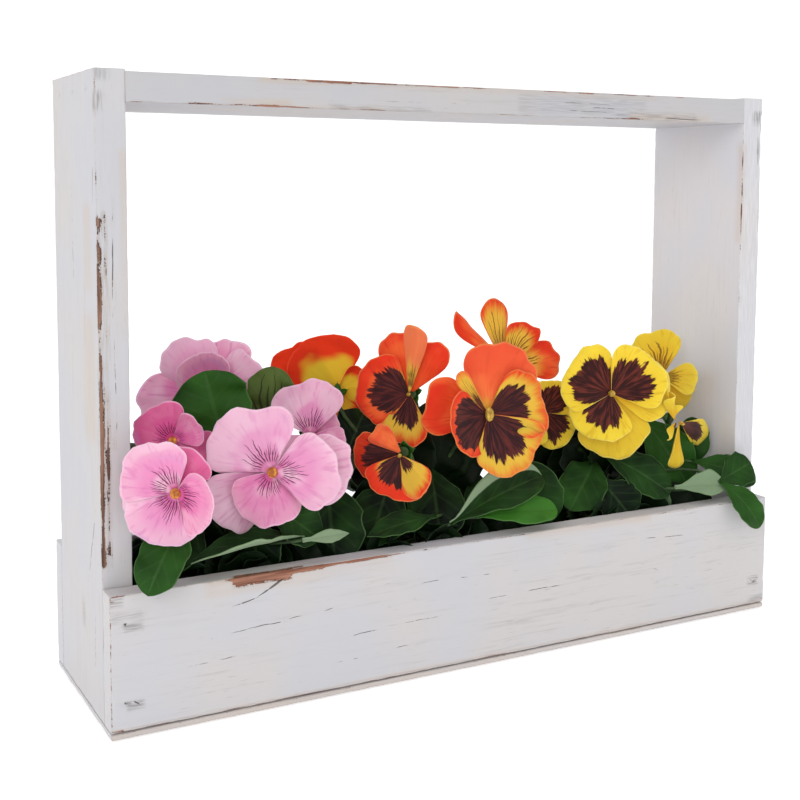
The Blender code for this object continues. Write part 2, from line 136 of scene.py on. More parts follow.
def uv(tree, name):
    return add_node(tree, "UVMap", {}, uv_map=name).outputs[0]


print("node helpers are ready")

# %% Sums of sockets
def maths(tree, operation, *values):
    return add_node(tree, "Math", dict(enumerate(values)), operation=operation).outputs[0]


def plus(tree, first, second):
    return maths(tree, "ADD", first, second)


def minus(tree, first, second):
    return maths(tree, "SUBTRACT", first, second)


def times(tree, first, second):
    return maths(tree, "MULTIPLY", first, second)


def divided(tree, first, second):
    return maths(tree, "DIVIDE", first, second)


def scaled(tree, value, factor, offset):
    """The value times the factor, plus the offset."""
    return maths(tree, "MULTIPLY_ADD", value, factor, offset)


def centred(tree, value, factor):
    """A random value about 0.5, moved to lie about 0 and scaled."""
    return scaled(tree, value, factor, -factor / 2)


def off_middle(tree, u):
    """0 along the middle of a petal or leaf and 1 at both margins."""
    return maths(tree, "ABSOLUTE", scaled(tree, u, 2.0, -1.0))


def beside_line(tree, count):
    """How far the nearest of many lines is, where count grows by 1 from line to line."""
    return maths(tree, "ABSOLUTE", minus(tree, maths(tree, "FRACT", count), 0.5))


def vector_maths(tree, operation, *values):
    """A sum of vectors. A dot product or a distance comes out as a number."""
    made = add_node(tree, "VectorMath", dict(enumerate(values)), operation=operation)
    return made.outputs["Value" if operation in ("DOT_PRODUCT", "DISTANCE") else "Vector"]


def vector_scaled(tree, vector, factor):
    feeds = {0: vector, "Scale": factor}
    return add_node(tree, "VectorMath", feeds, operation="SCALE").outputs[0]


print("sums of sockets are ready")

# %% Masks, noise, colours and bumps
def step_up(tree, value, low, high):
    """0 below low, 1 above high and a smooth rise between them."""
    feeds = {"Value": value, "From Min": low, "From Max": high}
    return add_node(tree, "MapRange", feeds, interpolation_type="SMOOTHSTEP").outputs["Result"]


def step_down(tree, value, low, high):
    """1 below low, 0 above high and a smooth fall between them."""
    return minus(tree, 1.0, step_up(tree, value, low, high))


def mottle(tree, vector, scale, detail=2.0, roughness=0.5):
    """Smooth random values about 0.5."""
    feeds = {"Vector": vector, "Scale": scale, "Detail": detail, "Roughness": roughness}
    return add_node(tree, "TexNoise", feeds).outputs[0]


def blend(tree, mask, low, high):
    """The colour low where the mask is 0 and high where it is 1."""
    return add_node(tree, "Mix", {0: mask, 6: low, 7: high}, data_type="RGBA").outputs[2]


def between(tree, mask, low, high):
    """The colour between two screen colours."""
    return blend(tree, mask, linear(*low), linear(*high))


def laid(tree, colour, ink, mask, strength=1.0):
    """The colour with an ink laid over it, given as a screen colour, where the mask says."""
    return blend(tree, times(tree, mask, strength), colour, linear(*ink))


def bump(tree, height, distance, strength=1.0, base=None):
    """A bump whose height is in metres at full scale."""
    feeds = {"Height": height, "Distance": distance, "Strength": strength}
    if base:
        feeds["Normal"] = base
    return add_node(tree, "Bump", feeds).outputs[0]


print("masks, noise and bumps are ready")

# %% Helpers for materials, node groups and finished pieces
def new_material(name):
    """A material with one Principled shader, as its node tree and that shader."""
    made = bpy.data.materials.new(name)
    made.use_nodes = True
    return made, made.node_tree, made.node_tree.nodes["Principled BSDF"]


def new_group(name, vectors, numbers, gives):
    """A node group with named sockets, as the group, its inputs and the node of its outputs."""
    group = bpy.data.node_groups.new(name, "ShaderNodeTree")
    for socket in vectors:
        group.interface.new_socket(socket, in_out="INPUT", socket_type="NodeSocketVector")
    for socket in numbers:
        group.interface.new_socket(socket, in_out="INPUT", socket_type="NodeSocketFloat")
    for socket in gives:
        group.interface.new_socket(socket, in_out="OUTPUT", socket_type="NodeSocketFloat")
    return group, group.nodes.new("NodeGroupInput").outputs, group.nodes.new("NodeGroupOutput")


def use_group(tree, group, feeds):
    """A group placed in a material, as its output sockets."""
    made = tree.nodes.new("ShaderNodeGroup")
    made.node_tree = group
    return feed(tree, made, feeds).outputs


def fit(piece, node, slot, *materials):
    """Gives a piece its materials, hangs it under the root and hides its solid. The slot is not used.
    """
    for material in materials:
        piece.data.materials.append(material)
    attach(piece, "root")
    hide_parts(node)


print("material and group helpers are ready")

# %% [markdown]
# ## Floor and light
# The box stands on white paper, one sheet that curves up behind it, so no horizon shows. The sky is
# white and gives most of the light, and three soft boxes give the boards a little shape.

# %% The paper sweep
PAPER_WIDE = 8.0
PAPER_NEAR = -4.0
PAPER_FAR = 2.2
PAPER_BEND = 1.2
PAPER_HIGH = 4.0
PAPER_STEPS = 24
PAPER_DROP = 0.0004
PAPER_DARK = (246, 246, 247)
PAPER_LIGHT = (250, 250, 250)
PAPER_GRAINS = 400
PAPER_ROUGH = 0.9
PAPER_GLOW = 0.3
WHITE = (1, 1, 1, 1)


def new_piece(name, data):
    """A new object at the origin, in the scene."""
    piece = bpy.data.objects.new(name, data)
    bpy.context.scene.collection.objects.link(piece)
    return piece


def mesh_piece(name, shape):
    """A new object from a bmesh, which is freed."""
    mesh = bpy.data.meshes.new(name)
    shape.to_mesh(mesh)
    shape.free()
    return new_piece(name, mesh)


def sweep_point(t):
    """A point of the sweep's side view: t is 0 at its front edge, 1 at its upper edge."""
    flat = PAPER_FAR - PAPER_NEAR
    arc = PAPER_BEND * math.pi / 2
    run = t * (flat + arc + PAPER_HIGH)
    if run < flat:
        return PAPER_NEAR + run, 0.0
    if run < flat + arc:
        angle = (run - flat) / PAPER_BEND
        return PAPER_FAR + PAPER_BEND * math.sin(angle), PAPER_BEND * (1 - math.cos(angle))
    return PAPER_FAR + PAPER_BEND, PAPER_BEND + run - flat - arc


def paper_material():
    """White paper that glows a little, so that it stays white in the picture."""
    made, tree, shader = new_material("paper")
    grain = mottle(tree, object_place(tree), PAPER_GRAINS, 2)
    feed(tree, shader, {"Base Color": between(tree, grain, PAPER_DARK, PAPER_LIGHT),
                        "Roughness": PAPER_ROUGH, "Emission Color": WHITE,
                        "Emission Strength": PAPER_GLOW})
    return made


def build_sweep():
    shape = bmesh.new()
    bmesh.ops.create_grid(shape, x_segments=1, y_segments=PAPER_STEPS, size=1)
    for vertex in shape.verts:
        y, z = sweep_point((vertex.co.y + 1) / 2)
        vertex.co = (vertex.co.x * PAPER_WIDE, y, z - PAPER_DROP)
    sweep = mesh_piece("paper_sweep", shape)
    sweep.data.materials.append(paper_material())
    sweep.data.shade_smooth()
    return sweep


print("paper sweep:", len(build_sweep().data.polygons), "cells")

# %% The white sky and the soft boxes
SKY_LIGHT = 0.73
SKY_SEEN = 1.0
# Each soft box: where it hangs, its size in metres and its power in watts
SOFT_BOXES = {
    "key": ((-1.7, -1.6, 1.2), 1.2, 14.0),
    "fill": ((0.9, -2.2, 0.9), 1.6, 3.0),
    "top": ((0.3, 0.1, 1.9), 1.2, 6.0),
}
AIM = Vector((0, 0, 0.15))


def build_sky():
    """A sky that lights the box softly and is pure white where it is seen."""
    sky = bpy.data.worlds.new("sky")
    sky.use_nodes = True
    tree = sky.node_tree
    lit = feed(tree, tree.nodes["Background"], {"Color": WHITE, "Strength": SKY_LIGHT})
    seen = add_node(tree, "Background", {"Color": WHITE, "Strength": SKY_SEEN})
    to_camera = add_node(tree, "LightPath", {}).outputs["Is Camera Ray"]
    either = add_node(tree, "MixShader", {0: to_camera, 1: lit.outputs[0], 2: seen.outputs[0]})
    feed(tree, tree.nodes["World Output"], {"Surface": either.outputs[0]})
    bpy.context.scene.world = sky


def build_lights():
    for name, (place, size, power) in SOFT_BOXES.items():
        lamp = bpy.data.lights.new(name, "AREA")
        lamp.size = size
        lamp.energy = power
        obj = new_piece(name, lamp)
        obj.location = place
        obj.rotation_euler = (AIM - obj.location).to_track_quat("-Z", "Y").to_euler()


build_sky()
build_lights()
bpy.context.scene.view_settings.view_transform = "Standard"
print("soft boxes:", len(SOFT_BOXES))

# %% [markdown]
# ## Rubbed white paint
# The boards were brushed with thin white paint along the grain, then rubbed. So the paint has faint
# streaks and soft clouds, and bare brown wood along some edges. Round each bare patch runs a dark
# line that is partly dirt and partly painted shade at the step of the paint's edge. Every board's
# mesh carries three values per point, wear, stain and smudge, that say where these marks lie; the
# smudge also holds painted shade in the dents by some nails. The shader breaks them up with fine
# noise, so that patches have ragged edges. Each board's paint has a tone that paints in its light.

# %% The grain of a board, as a node group
# Each output: whether it is drawn out along the grain, and its scale, detail and roughness
GRAIN_LAYERS = {
    "Clouds": (False, 14, 2, 0.5),
    "Streaks": (True, 90, 3, 0.6),
    "Fibres": (True, 520, 4, 0.65),
    "Hairs": (True, 1500, 2, 0.5),
}


def grain_group():
    """Soft clouds, and streaks, fibres and hairs along the grain."""
    group, inside, outside = new_group("Board grain", ("Place", "Stretch"), (), GRAIN_LAYERS)
    along = vector_maths(group, "MULTIPLY", inside["Place"], inside["Stretch"])
    for layer, (drawn_out, scale, detail, roughness) in GRAIN_LAYERS.items():
        place = along if drawn_out else inside["Place"]
        feed(group, outside, {layer: mottle(group, place, scale, detail, roughness)})
    return group


GRAIN = grain_group()
print("grain group:", len(GRAIN.nodes), "nodes")

# %% The chipped paint, as a node group
# How far hairs, fibres and specks break up the outline of a bare patch
HAIRS_BREAK = 0.6
FIBRES_BREAK = 0.5
SPECKS_BREAK = 0.5
SPECK_SCALE = 900
SPECK_ROUGHNESS = 0.7
DIRT_SCALE = 240
# From which to which wear, or which noise, each mask rises
BROKEN_FROM = (0.0, 0.25)
THIN_FROM = (0.12, 0.48)
BARE_FROM = (0.47, 0.5)
CLEAN_FROM = (0.54, 0.62)
DIRTY_FROM = (0.36, 0.56)


def chipped_group():
    """Where the paint is thin, where the wood is bare, where dirt and painted shade sit, how high the
    paint is.
    """
    numbers, gives = ("Wear", "Fibres", "Hairs"), ("Thin", "Bare", "Dirt and shade", "Paint height")
    group, inside, outside = new_group("Chipped paint", ("Place",), numbers, gives)
    specks = mottle(group, inside["Place"], SPECK_SCALE, 2, SPECK_ROUGHNESS)
    broken = plus(group, centred(group, inside["Hairs"], HAIRS_BREAK),
                  centred(group, inside["Fibres"], FIBRES_BREAK))
    broken = plus(group, broken, centred(group, specks, SPECKS_BREAK))
    worn = scaled(group, broken, step_up(group, inside["Wear"], *BROKEN_FROM), inside["Wear"])
    bare = step_up(group, worn, *BARE_FROM)
    # The rim round bare wood: dirt, and painted shade at the step of the paint's edge
    rim = minus(group, bare, step_up(group, worn, *CLEAN_FROM))
    dirty = step_up(group, mottle(group, inside["Place"], DIRT_SCALE, 3), *DIRTY_FROM)
    feed(group, outside, {"Thin": step_up(group, worn, *THIN_FROM), "Bare": bare,
                          "Dirt and shade": times(group, rim, dirty),
                          "Paint height": minus(group, 1.0, bare)})
    return group


CHIPPED = chipped_group()
print("chipped paint group:", len(CHIPPED.nodes), "nodes")

# %% A scratch or a crack, as a node group
DRIFT_SCALE = 60.0
DRIFT_DETAIL = 3.0
BREAK_SCALE = 300
UNBROKEN_FROM = (0.22, 0.48)
LINE_FADES = (0.5, 1.0)
LEAST_WIDTH = 1e-6


def drifted(group, place, wander):
    """The place moved about by noise, so that a straight line through it comes out wavy."""
    feeds = {"Vector": place, "Scale": DRIFT_SCALE, "Detail": DRIFT_DETAIL}
    drift = add_node(group, "TexNoise", feeds).outputs["Color"]
    drift = vector_maths(group, "SUBTRACT", drift, (0.5, 0.5, 0.5))
    return vector_maths(group, "ADD", place, vector_scaled(group, drift, wander))


def scratch_group():
    """A thin broken line from one point to another, wavy like a split in the wood."""
    vectors, numbers = ("Place", "From", "To"), ("Width", "Wander")
    group, inside, outside = new_group("Scratch", vectors, numbers, ("Line",))
    reach = vector_maths(group, "SUBTRACT", inside["To"], inside["From"])
    offset = vector_maths(group, "SUBTRACT", drifted(group, inside["Place"], inside["Wander"]),
                          inside["From"])
    part = divided(group, vector_maths(group, "DOT_PRODUCT", offset, reach),
                   vector_maths(group, "DOT_PRODUCT", reach, reach))
    part = add_node(group, "Clamp", {0: part}).outputs[0]
    apart = vector_maths(group, "DISTANCE", offset, vector_scaled(group, reach, part))
    taper = times(group, times(group, part, 4.0), minus(group, 1.0, part))
    unbroken = step_up(group, mottle(group, inside["Place"], BREAK_SCALE, 2), *UNBROKEN_FROM)
    width = times(group, inside["Width"], times(group, taper, unbroken))
    width = maths(group, "MAXIMUM", width, LEAST_WIDTH)
    feed(group, outside, {"Line": step_down(group, divided(group, apart, width), *LINE_FADES)})
    return group


SCRATCH = scratch_group()
print("scratch group:", len(SCRATCH.nodes), "nodes")

# %% The paint of one board
PAINT_COOL = (204, 204, 209)
PAINT_WARM = (209, 205, 205)
PAINT_STREAK = (158, 154, 154)
RUBBED = (176, 158, 142)
STAIN = (194, 168, 138)
# A grey for smudges, also laid as painted shade in the dents by some nails
SMUDGE_AND_SHADE_GREY = (138, 134, 134)
# A dark grime, also laid as painted shade round bare wood
DIRT_AND_SHADE = (48, 42, 42)
GRAIN_ALONG_X = (0.05, 1, 1)
GRAIN_ALONG_Z = (1, 1, 0.05)
# From which to which value of the grain's noise each mask rises
WARM_FROM = (0.35, 0.65)
STAINED_FROM = (0.25, 0.6)
SMUDGED_AND_SHADED_FROM = (0.36, 0.6)
DARK_WOOD_FROM = (0.35, 0.65)
STREAKY_FROM = (0.4, 0.62)
STREAKS_FROM = (0.52, 0.72)
DASHES_FROM = (0.66, 0.74)
# How strong the brush's streaks and dashes are: more in streaky patches, and least
STREAKS_SHOWN = (0.24, 0.08)
DASHES_SHOWN = (0.45, 0.2)
RUBBED_SHOWN = 0.4
SCRATCH_SHOWN = 0.85
FIBRE_HIGH = 0.3
PAINT_HIGH = 0.25 * MM
PAINT_BUMP = 0.6
PAINT_ROUGH = 0.62
WOOD_ROUGHER = 0.2


def toned(colour, tone):
    """A screen colour with all its parts scaled, as a linear colour."""
    return linear(*(part * tone for part in colour))


def brush_lines(tree, grain):
    """The streaks and dashes that the brush left, stronger in some patches."""
    patches = step_up(tree, grain["Clouds"], *STREAKY_FROM)
    streaks = step_up(tree, grain["Fibres"], *STREAKS_FROM)
    dashes = step_up(tree, grain["Hairs"], *DASHES_FROM)
    return plus(tree, times(tree, streaks, scaled(tree, patches, *STREAKS_SHOWN)),
                times(tree, dashes, scaled(tree, patches, *DASHES_SHOWN)))


def worn_colour(tree, colour, grain, chips, wood, dirt_and_shade_shown):
    """The paint's colour with its stains, smudges, bare wood and dirt, and its painted shade."""
    stained = times(tree, attribute(tree, "stain"),
                    step_up(tree, grain["Streaks"], *STAINED_FROM))
    # Smudges, and painted shade in the dents by some nails
    smudged_and_shaded = times(tree, attribute(tree, "smudge_and_shade"),
                    step_up(tree, grain["Hairs"], *SMUDGED_AND_SHADED_FROM))
    colour = laid(tree, colour, STAIN, stained)
    colour = laid(tree, colour, SMUDGE_AND_SHADE_GREY, smudged_and_shaded)
    colour = laid(tree, colour, RUBBED, chips["Thin"], RUBBED_SHOWN)
    bare = between(tree, step_up(tree, grain["Fibres"], *DARK_WOOD_FROM), *wood)
    colour = blend(tree, chips["Bare"], colour, bare)
    # Dirt and painted shade round the bare wood
    return laid(tree, colour, DIRT_AND_SHADE, chips["Dirt and shade"], dirt_and_shade_shown)


def scratch_line(tree, place, start, end, width, wander):
    """One scratch, its ends and sizes given in mm."""
    feeds = {"Place": place, "From": Vector(start) * MM, "To": Vector(end) * MM,
             "Width": width * MM, "Wander": wander * MM}
    return use_group(tree, SCRATCH, feeds)["Line"]


def paint_material(name, stretch, tone, wood, dirt_and_shade_shown, brushing, scratches):
    """Rubbed paint whose grain runs along one axis, with its own bare wood, dirt and scratches, and
    painted shade and light.
    """
    made, tree, shader = new_material(name)
    place = object_place(tree)
    grain = use_group(tree, GRAIN, {"Place": place, "Stretch": stretch})
    chips = use_group(tree, CHIPPED, {"Wear": attribute(tree, "wear"), "Place": place,
                                      "Hairs": grain["Hairs"], "Fibres": grain["Fibres"]})
    # The board's tone scales its paint, as painted light and shade for the light that falls on it
    colour = blend(tree, step_up(tree, grain["Clouds"], *WARM_FROM), toned(PAINT_COOL, tone),
                   toned(PAINT_WARM, tone))
    lines = times(tree, brush_lines(tree, grain), brushing)
    colour = blend(tree, lines, colour, toned(PAINT_STREAK, tone))
    colour = worn_colour(tree, colour, grain, chips, wood, dirt_and_shade_shown)
    height = scaled(tree, grain["Fibres"], FIBRE_HIGH, chips["Paint height"])
    for scratch in scratches:
        line = scratch_line(tree, place, *scratch)
        colour = laid(tree, colour, DIRT_AND_SHADE, line, SCRATCH_SHOWN)
        height = minus(tree, height, line)
    feed(tree, shader, {"Base Color": colour,
                        "Roughness": scaled(tree, chips["Bare"], WOOD_ROUGHER, PAINT_ROUGH),
                        "Normal": bump(tree, height, PAINT_HIGH, PAINT_BUMP)})
    return made


print("paint:", PAINT_COOL, "bare and dirty:", DIRT_AND_SHADE)

# %% [markdown]
# ## The boards
# A scaled cube would have knife edges and flat faces. Here the cube is cut into cells, close together
# near its edges and nails. Its edges are rounded by an amount that wanders along them, its faces
# swell a little, and nail heads and worn places are sunk. Points only move inwards, so a board stays
# in its solid's box, apart from the rail's ends, which close the hair gap to the sides.

# %% Cut a block into cells
EDGE_STEPS = (0.3, 0.7, 1.2, 1.8, 2.5, 3.4, 4.4)
NAIL_STEPS = (-2.4, -1.8, -1.2, -0.6, 0.0, 0.6, 1.2, 1.8, 2.4)
LEAST_GAP = 0.15 * MM


def stations(low, high, cell, nails):
    """Places along one side of a board: close by its edges and nails, a cell apart elsewhere."""
    places = {low, high}
    for step in EDGE_STEPS:
        if 2 * step * MM < high - low:
            places |= {low + step * MM, high - step * MM}
    for nail in nails:
        places |= {nail + step * MM for step in NAIL_STEPS}
    filled = sorted(place for place in places if low <= place <= high)
    result = [filled[0]]
    for place in filled[1:]:
        gap = place - result[-1]
        if gap < LEAST_GAP:
            continue
        count = max(1, round(gap / cell))
        start = result[-1]
        result += [start + gap * i / count for i in range(1, count + 1)]
    result[-1] = high
    return result


def cell_block(low, high, cell, nails):
    """A block between two corners, cut at its stations in mm and then made small."""
    shape = bmesh.new()
    bmesh.ops.create_cube(shape, size=1)
    for axis in range(3):
        places = stations(low[axis], high[axis], cell, nails[axis])
        across = [edge for edge in shape.edges
                  if abs(edge.verts[0].co[axis] - edge.verts[1].co[axis]) > 0.5]
        bmesh.ops.subdivide_edges(shape, edges=across, cuts=len(places) - 2, use_grid_fill=True)
        for vertex in shape.verts:
            vertex.co[axis] = places[round((vertex.co[axis] + 0.5) * (len(places) - 1))] / MM
    bmesh.ops.scale(shape, vec=(MM, MM, MM), verts=shape.verts)
    return shape


test_block = cell_block(Vector((0, 0, 0)), Vector((0.1, 0.05, 0.01)), 3 * MM, ((), (), ()))
print("a small test block has", len(test_block.faces), "faces")
test_block.free()

# %% Where the boards are worn, stained and smudged, and where shade is painted in nail dents
# Each mark is a box on a board's surface in mm, how strong it is at its first and its second
# corner along the grain, and how far it fades out. Wear shows bare wood from about 0.5 on.
WEAR = {
    "side_left": (
        ((-216, -43.5, 250), (-215.3, -42.8, 331), 0.44, 0.42, 0.8),
        ((-215.8, -43.5, 205), (-213.8, -43, 258), 0.92, 0.6, 1.2),
        ((-215.6, -43.5, 84), (-213.8, -43, 207), 0.84, 0.78, 1),
        ((-212.2, -43.5, 90), (-211.2, -43, 262), 0.52, 0.5, 1),
        ((-208.6, -43.5, 143), (-207.6, -43, 268), 0.44, 0.46, 1.2),
        ((-216, -43.5, 3), (-215.6, -43.2, 74), 0.36, 0.3, 0.8),
        ((-216, -8, 47), (-216, -2, 56), 0.34, 0.34, 1.6),
        ((-216, 50, 3), (-215.6, 56.8, 74), 0.4, 0.4, 1.2),
    ),
    "side_right": (
        ((200.2, -43.5, 268), (200.9, -43, 298), 0.62, 0.5, 0.8),
        ((200.2, -43.5, 200), (200.7, -43, 268), 0.4, 0.44, 0.8),
        ((215.3, -43.5, 80), (216, -43, 320), 0.36, 0.36, 0.8),
        ((196.5, -43.5, 320), (198.5, -43, 322), 0.4, 0.4, 1.2),
    ),
    "top_rail": (
        ((-160, -43.5, 329.6), (-124, -43.2, 330), 0.36, 0.44, 0.8),
        ((-124, -43.5, 329.2), (-104, -43, 330), 0.52, 0.52, 1),
        ((-104, -43.5, 328.8), (-78, -43, 330), 0.66, 0.7, 1),
        ((-78, -43.5, 329.3), (-10, -43, 330), 0.54, 0.5, 1),
        ((-10, -43.5, 329.5), (150, -43, 330), 0.5, 0.44, 0.9),
        ((60, -43.5, 329), (84, -43, 330), 0.56, 0.56, 1),
        ((-199, -43.5, 314.6), (-168, -43.2, 315), 0.4, 0.46, 0.8),
        ((-168, -43.5, 314.6), (-119, -43, 315.4), 0.62, 0.66, 1),
        ((-119, -43.5, 314.6), (110, -43.2, 315), 0.46, 0.42, 0.9),
        ((110, -43.5, 314.6), (164, -43, 315.4), 0.5, 0.46, 1),
    ),
    "front_board": (
        ((-166, -56.8, 72.4), (-152, -56.3, 73.5), 0.4, 0.62, 1.2),
        ((-152, -56.8, 69.8), (-120, -55.8, 73.5), 0.8, 0.92, 1.8),
        ((-120, -56.8, 71.4), (-100, -56, 73.5), 0.9, 0.66, 1.2),
        ((-100, -56.8, 72.3), (-60, -56.2, 73.5), 0.6, 0.52, 1),
        ((-60, -56.8, 72.8), (-3, -56.4, 73.5), 0.52, 0.44, 0.9),
        ((-3, -56.8, 73), (216, -56.4, 73.5), 0.36, 0.34, 0.8),
        ((-150, -55.6, 73.4), (-112, -53, 73.5), 0.6, 0.62, 2),
        ((-216, -56.8, 69.8), (-214, -56.3, 71.8), 0.6, 0.56, 1),
        ((-216, -56.8, 72.6), (-190, -56.4, 73.5), 0.44, 0.38, 0.9),
        ((-216, -56.8, 5), (-215.5, -56.4, 60), 0.44, 0.4, 0.8),
        ((-216, -56.8, 3.3), (-210, -56.4, 4.6), 0.7, 0.46, 0.9),
        ((-216, -56.8, 3.3), (216, -56.4, 3.8), 0.38, 0.35, 0.8),
    ),
}
STAINS = {
    "side_left": (
        ((-203, -43.5, 200), (-200.2, -42.6, 290), 0.12, 0.3, 3),
        ((-216, -34, 150), (-216, -20, 205), 0.3, 0.26, 8),
        ((-216, -30, 225), (-216, -22, 262), 0.2, 0.26, 6),
    ),
    "side_right": (
        ((200.2, -43.5, 240), (202.5, -40, 300), 0.3, 0.35, 3),
        ((200.2, -30, 90), (200.2, 40, 150), 0.22, 0.1, 16),
    ),
    "top_rail": (
        ((-150, -43.5, 314.6), (-114, -43.5, 317.5), 0.8, 0.8, 2.6),
        ((-168, -43.5, 314.6), (-60, -43.5, 315.6), 0.5, 0.3, 2),
        ((-130, -43.5, 327.5), (130, -43.5, 330), 0.35, 0.2, 2),
        ((110, -43.5, 314.6), (170, -43.5, 317), 0.4, 0.4, 2.6),
    ),
    "front_board": (
        ((-165, -56.8, 67), (-60, -56.8, 73.5), 0.3, 0.2, 3),
        ((30, -56.8, 71), (120, -56.8, 73.5), 0.3, 0.3, 2.5),
        ((-216, -56.8, 3.3), (216, -56.8, 5), 0.3, 0.3, 1.6),
    ),
    "base_board": (
        ((-216, -56.8, 0), (216, -56.8, 3.3), 0.35, 0.35, 2),
    ),
}
# Grime, and painted shade with some grime in the dents by the front board's nails
SMUDGES_AND_DENT_SHADE = {
    "side_left": (
        ((-216, -43.5, 312), (-213.6, -42, 318), 0.8, 0.8, 3),
        ((-215, -43.5, 327), (-211, -43.5, 330), 0.5, 0.5, 3),
        ((-214.6, -43.5, 84), (-211.5, -43, 260), 0.25, 0.25, 1.5),
        ((-216, -6, 44), (-216, -4, 58), 0.5, 0.5, 3),
        ((-216, 52, 3), (-215, 56.8, 74), 0.55, 0.55, 2.5),
    ),
    "side_right": (
        ((201.5, -43.5, 74), (216, -43.4, 330), 0.16, 0.16, 0.8),
        ((209.5, -43.5, 316), (215.5, -43, 321.5), 0.95, 0.95, 2.5),
        ((212.5, -43.5, 296), (213.5, -43, 306), 0.6, 0.6, 1),
        ((215.5, -43.5, 230), (216, -43, 290), 0.5, 0.7, 0.8),
        ((195.5, -43.5, 319.6), (199.5, -43, 321.6), 0.5, 0.5, 1.5),
    ),
    "top_rail": (
        ((-90, -43.5, 315), (-30, -43.5, 316.5), 0.5, 0.4, 1.6),
        ((30, -43.5, 318), (120, -43.5, 326), 0.3, 0.3, 3),
        ((100, -43.5, 315), (160, -43.5, 318), 0.55, 0.5, 2),
    ),
    "front_board": (
        ((-214, -56.8, 60.5), (-200, -56.8, 63), 0.45, 0.45, 2.5),
        ((-215.5, -56.8, 68.5), (-210, -56.8, 72), 0.8, 0.5, 1.6),
        # Painted shade, with some grime, in the dents by the front board's nails
        ((-208, -56.8, 55.5), (-199.5, -56.8, 57.5), 0.75, 0.65, 1.8),
        ((-207, -56.8, 15.5), (-200.5, -56.8, 18), 0.8, 0.7, 1.8),
        ((203.5, -56.8, 17), (210, -56.8, 20.5), 0.8, 0.8, 1.6),
        ((204, -56.8, 5), (216, -56.8, 8), 0.5, 0.7, 1.6),
        ((-216, -56.8, 3.3), (216, -56.8, 4.4), 0.4, 0.4, 1.2),
    ),
}


def mark_strength(point, mark, grain_axis):
    """How strong a mark is at a point, in mm, from 0 outside it."""
    low, high, first, last, fade = mark
    apart = 0.0
    for axis in range(3):
        apart += max(low[axis] - point[axis], 0, point[axis] - high[axis]) ** 2
    along = (point[grain_axis] - low[grain_axis]) / (high[grain_axis] - low[grain_axis])
    strength = first + (last - first) * min(max(along, 0), 1)
    return strength * max(1 - math.sqrt(apart) / fade, 0)


def strongest(point, marks, grain_axis):
    return max([mark_strength(point, mark, grain_axis) for mark in marks], default=0.0)


for kind, marks in (("worn", WEAR), ("stained", STAINS), ("smudged_and_shaded", SMUDGES_AND_DENT_SHADE)):
    print(kind, "places:", sum(map(len, marks.values())))

# %% Nails in each board
def nail_places(*nails):
    """The middle of each of these nails."""
    return [sum(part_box("brad_" + nail), Vector()) / 2 for nail in nails]


RAIL_NAILS = nail_places("rail_left_1", "rail_left_2", "rail_left_3")
# Each board: the axis of its nails, the side that their heads are on, and where they are
NAILS = {
    "side_left": (0, -1, RAIL_NAILS),
    "side_right": (0, 1, RAIL_NAILS),
    "front_board": (1, -1, nail_places("front_left_1", "front_left_2", "front_right_1",
                                       "front_right_2")),
    "back_board": (1, 1, nail_places("back_left_1", "back_left_2", "back_right_1",
                                     "back_right_2")),
    "base_board": (2, -1, nail_places("base_left", "base_right")),
    "top_rail": (0, 1, ()),
}
print("nails on the front board:", len(NAILS["front_board"][2]))

# %% Shape one board
ROUND_LEAST = 0.6 * MM
ROUND_MORE = 1.3 * MM
SWELL = 0.25 * MM
FURROW = 0.12 * MM
CHIP_DEEP = 0.5 * MM
PIT_DEEP = 0.9 * MM
PIT_WIDE = 2.4 * MM
PIT_DRAWN_OUT = 0.5
PIT_FACES = 0.9
# Two sizes of unevenness in the wear: how strong it is, and how many waves it has in a metre
WEAR_SLOW = (0.34, 110)
WEAR_FAST = (0.30, 420)
WEAR_ALONG = 0.3
WEAR_FULL = 0.4
WAVES_PER_METRE = 18
NICKS_PER_METRE = 160
FURROWS_PER_METRE = 260
FURROW_ALONG = 0.05
ROUND_MOST = 0.45
END_ROUND = {"top_rail": 0.12}
END_REACH = 3.0 * MM
RAIL_CLOSES = 0.6 * MM
EDGE_WEAR = {"top_rail": 0.3, "side_right": 0.34, "side_left": 0.34}
USUAL_EDGE_WEAR = 0.4
EDGE_WEAR_WIDE = 1.2 * MM


def board_box(name):
    """A board's corners. The rail's paint closes the hair gap to the sides at its two ends."""
    low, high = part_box(name)
    reach = Vector((RAIL_CLOSES if name == "top_rail" else 0, 0, 0))
    return low - reach, high + reach


def eased(point, low, high, radius):
    """The point pulled in so that the block's edges are round, and the way out of the block."""
    inner = Vector([min(max(point[i], low[i] + radius), high[i] - radius) for i in range(3)])
    way = (point - inner).normalized()
    return inner + way * radius, way


def pit_depth(name, point, way):
    """How deep a point lies in the dent over a nail head."""
    axis, side, nails = NAILS[name]
    if way[axis] * side < PIT_FACES:
        return 0.0
    deepest = 0.0
    for nail in nails:
        offset = point - nail
        offset[axis] = 0
        offset.x *= PIT_DRAWN_OUT
        if offset.length < PIT_WIDE:
            deepest = max(deepest, 0.5 + 0.5 * math.cos(math.pi * offset.length / PIT_WIDE))
    return PIT_DEEP * deepest


def along_grain(point, grain_axis, part):
    """The point drawn together along the grain, for noise that follows it."""
    drawn = point.copy()
    drawn[grain_axis] *= part
    return drawn


def wear_at(name, point, grain_axis):
    """How worn a board is at a point: its marks, made uneven along the grain."""
    wear = strongest(point / MM, WEAR.get(name, ()), grain_axis)
    place = along_grain(point, grain_axis, WEAR_ALONG)
    uneven = sum(size * noise.noise(place * waves) for size, waves in (WEAR_SLOW, WEAR_FAST))
    return max(wear + uneven * min(wear / WEAR_FULL, 1), 0)


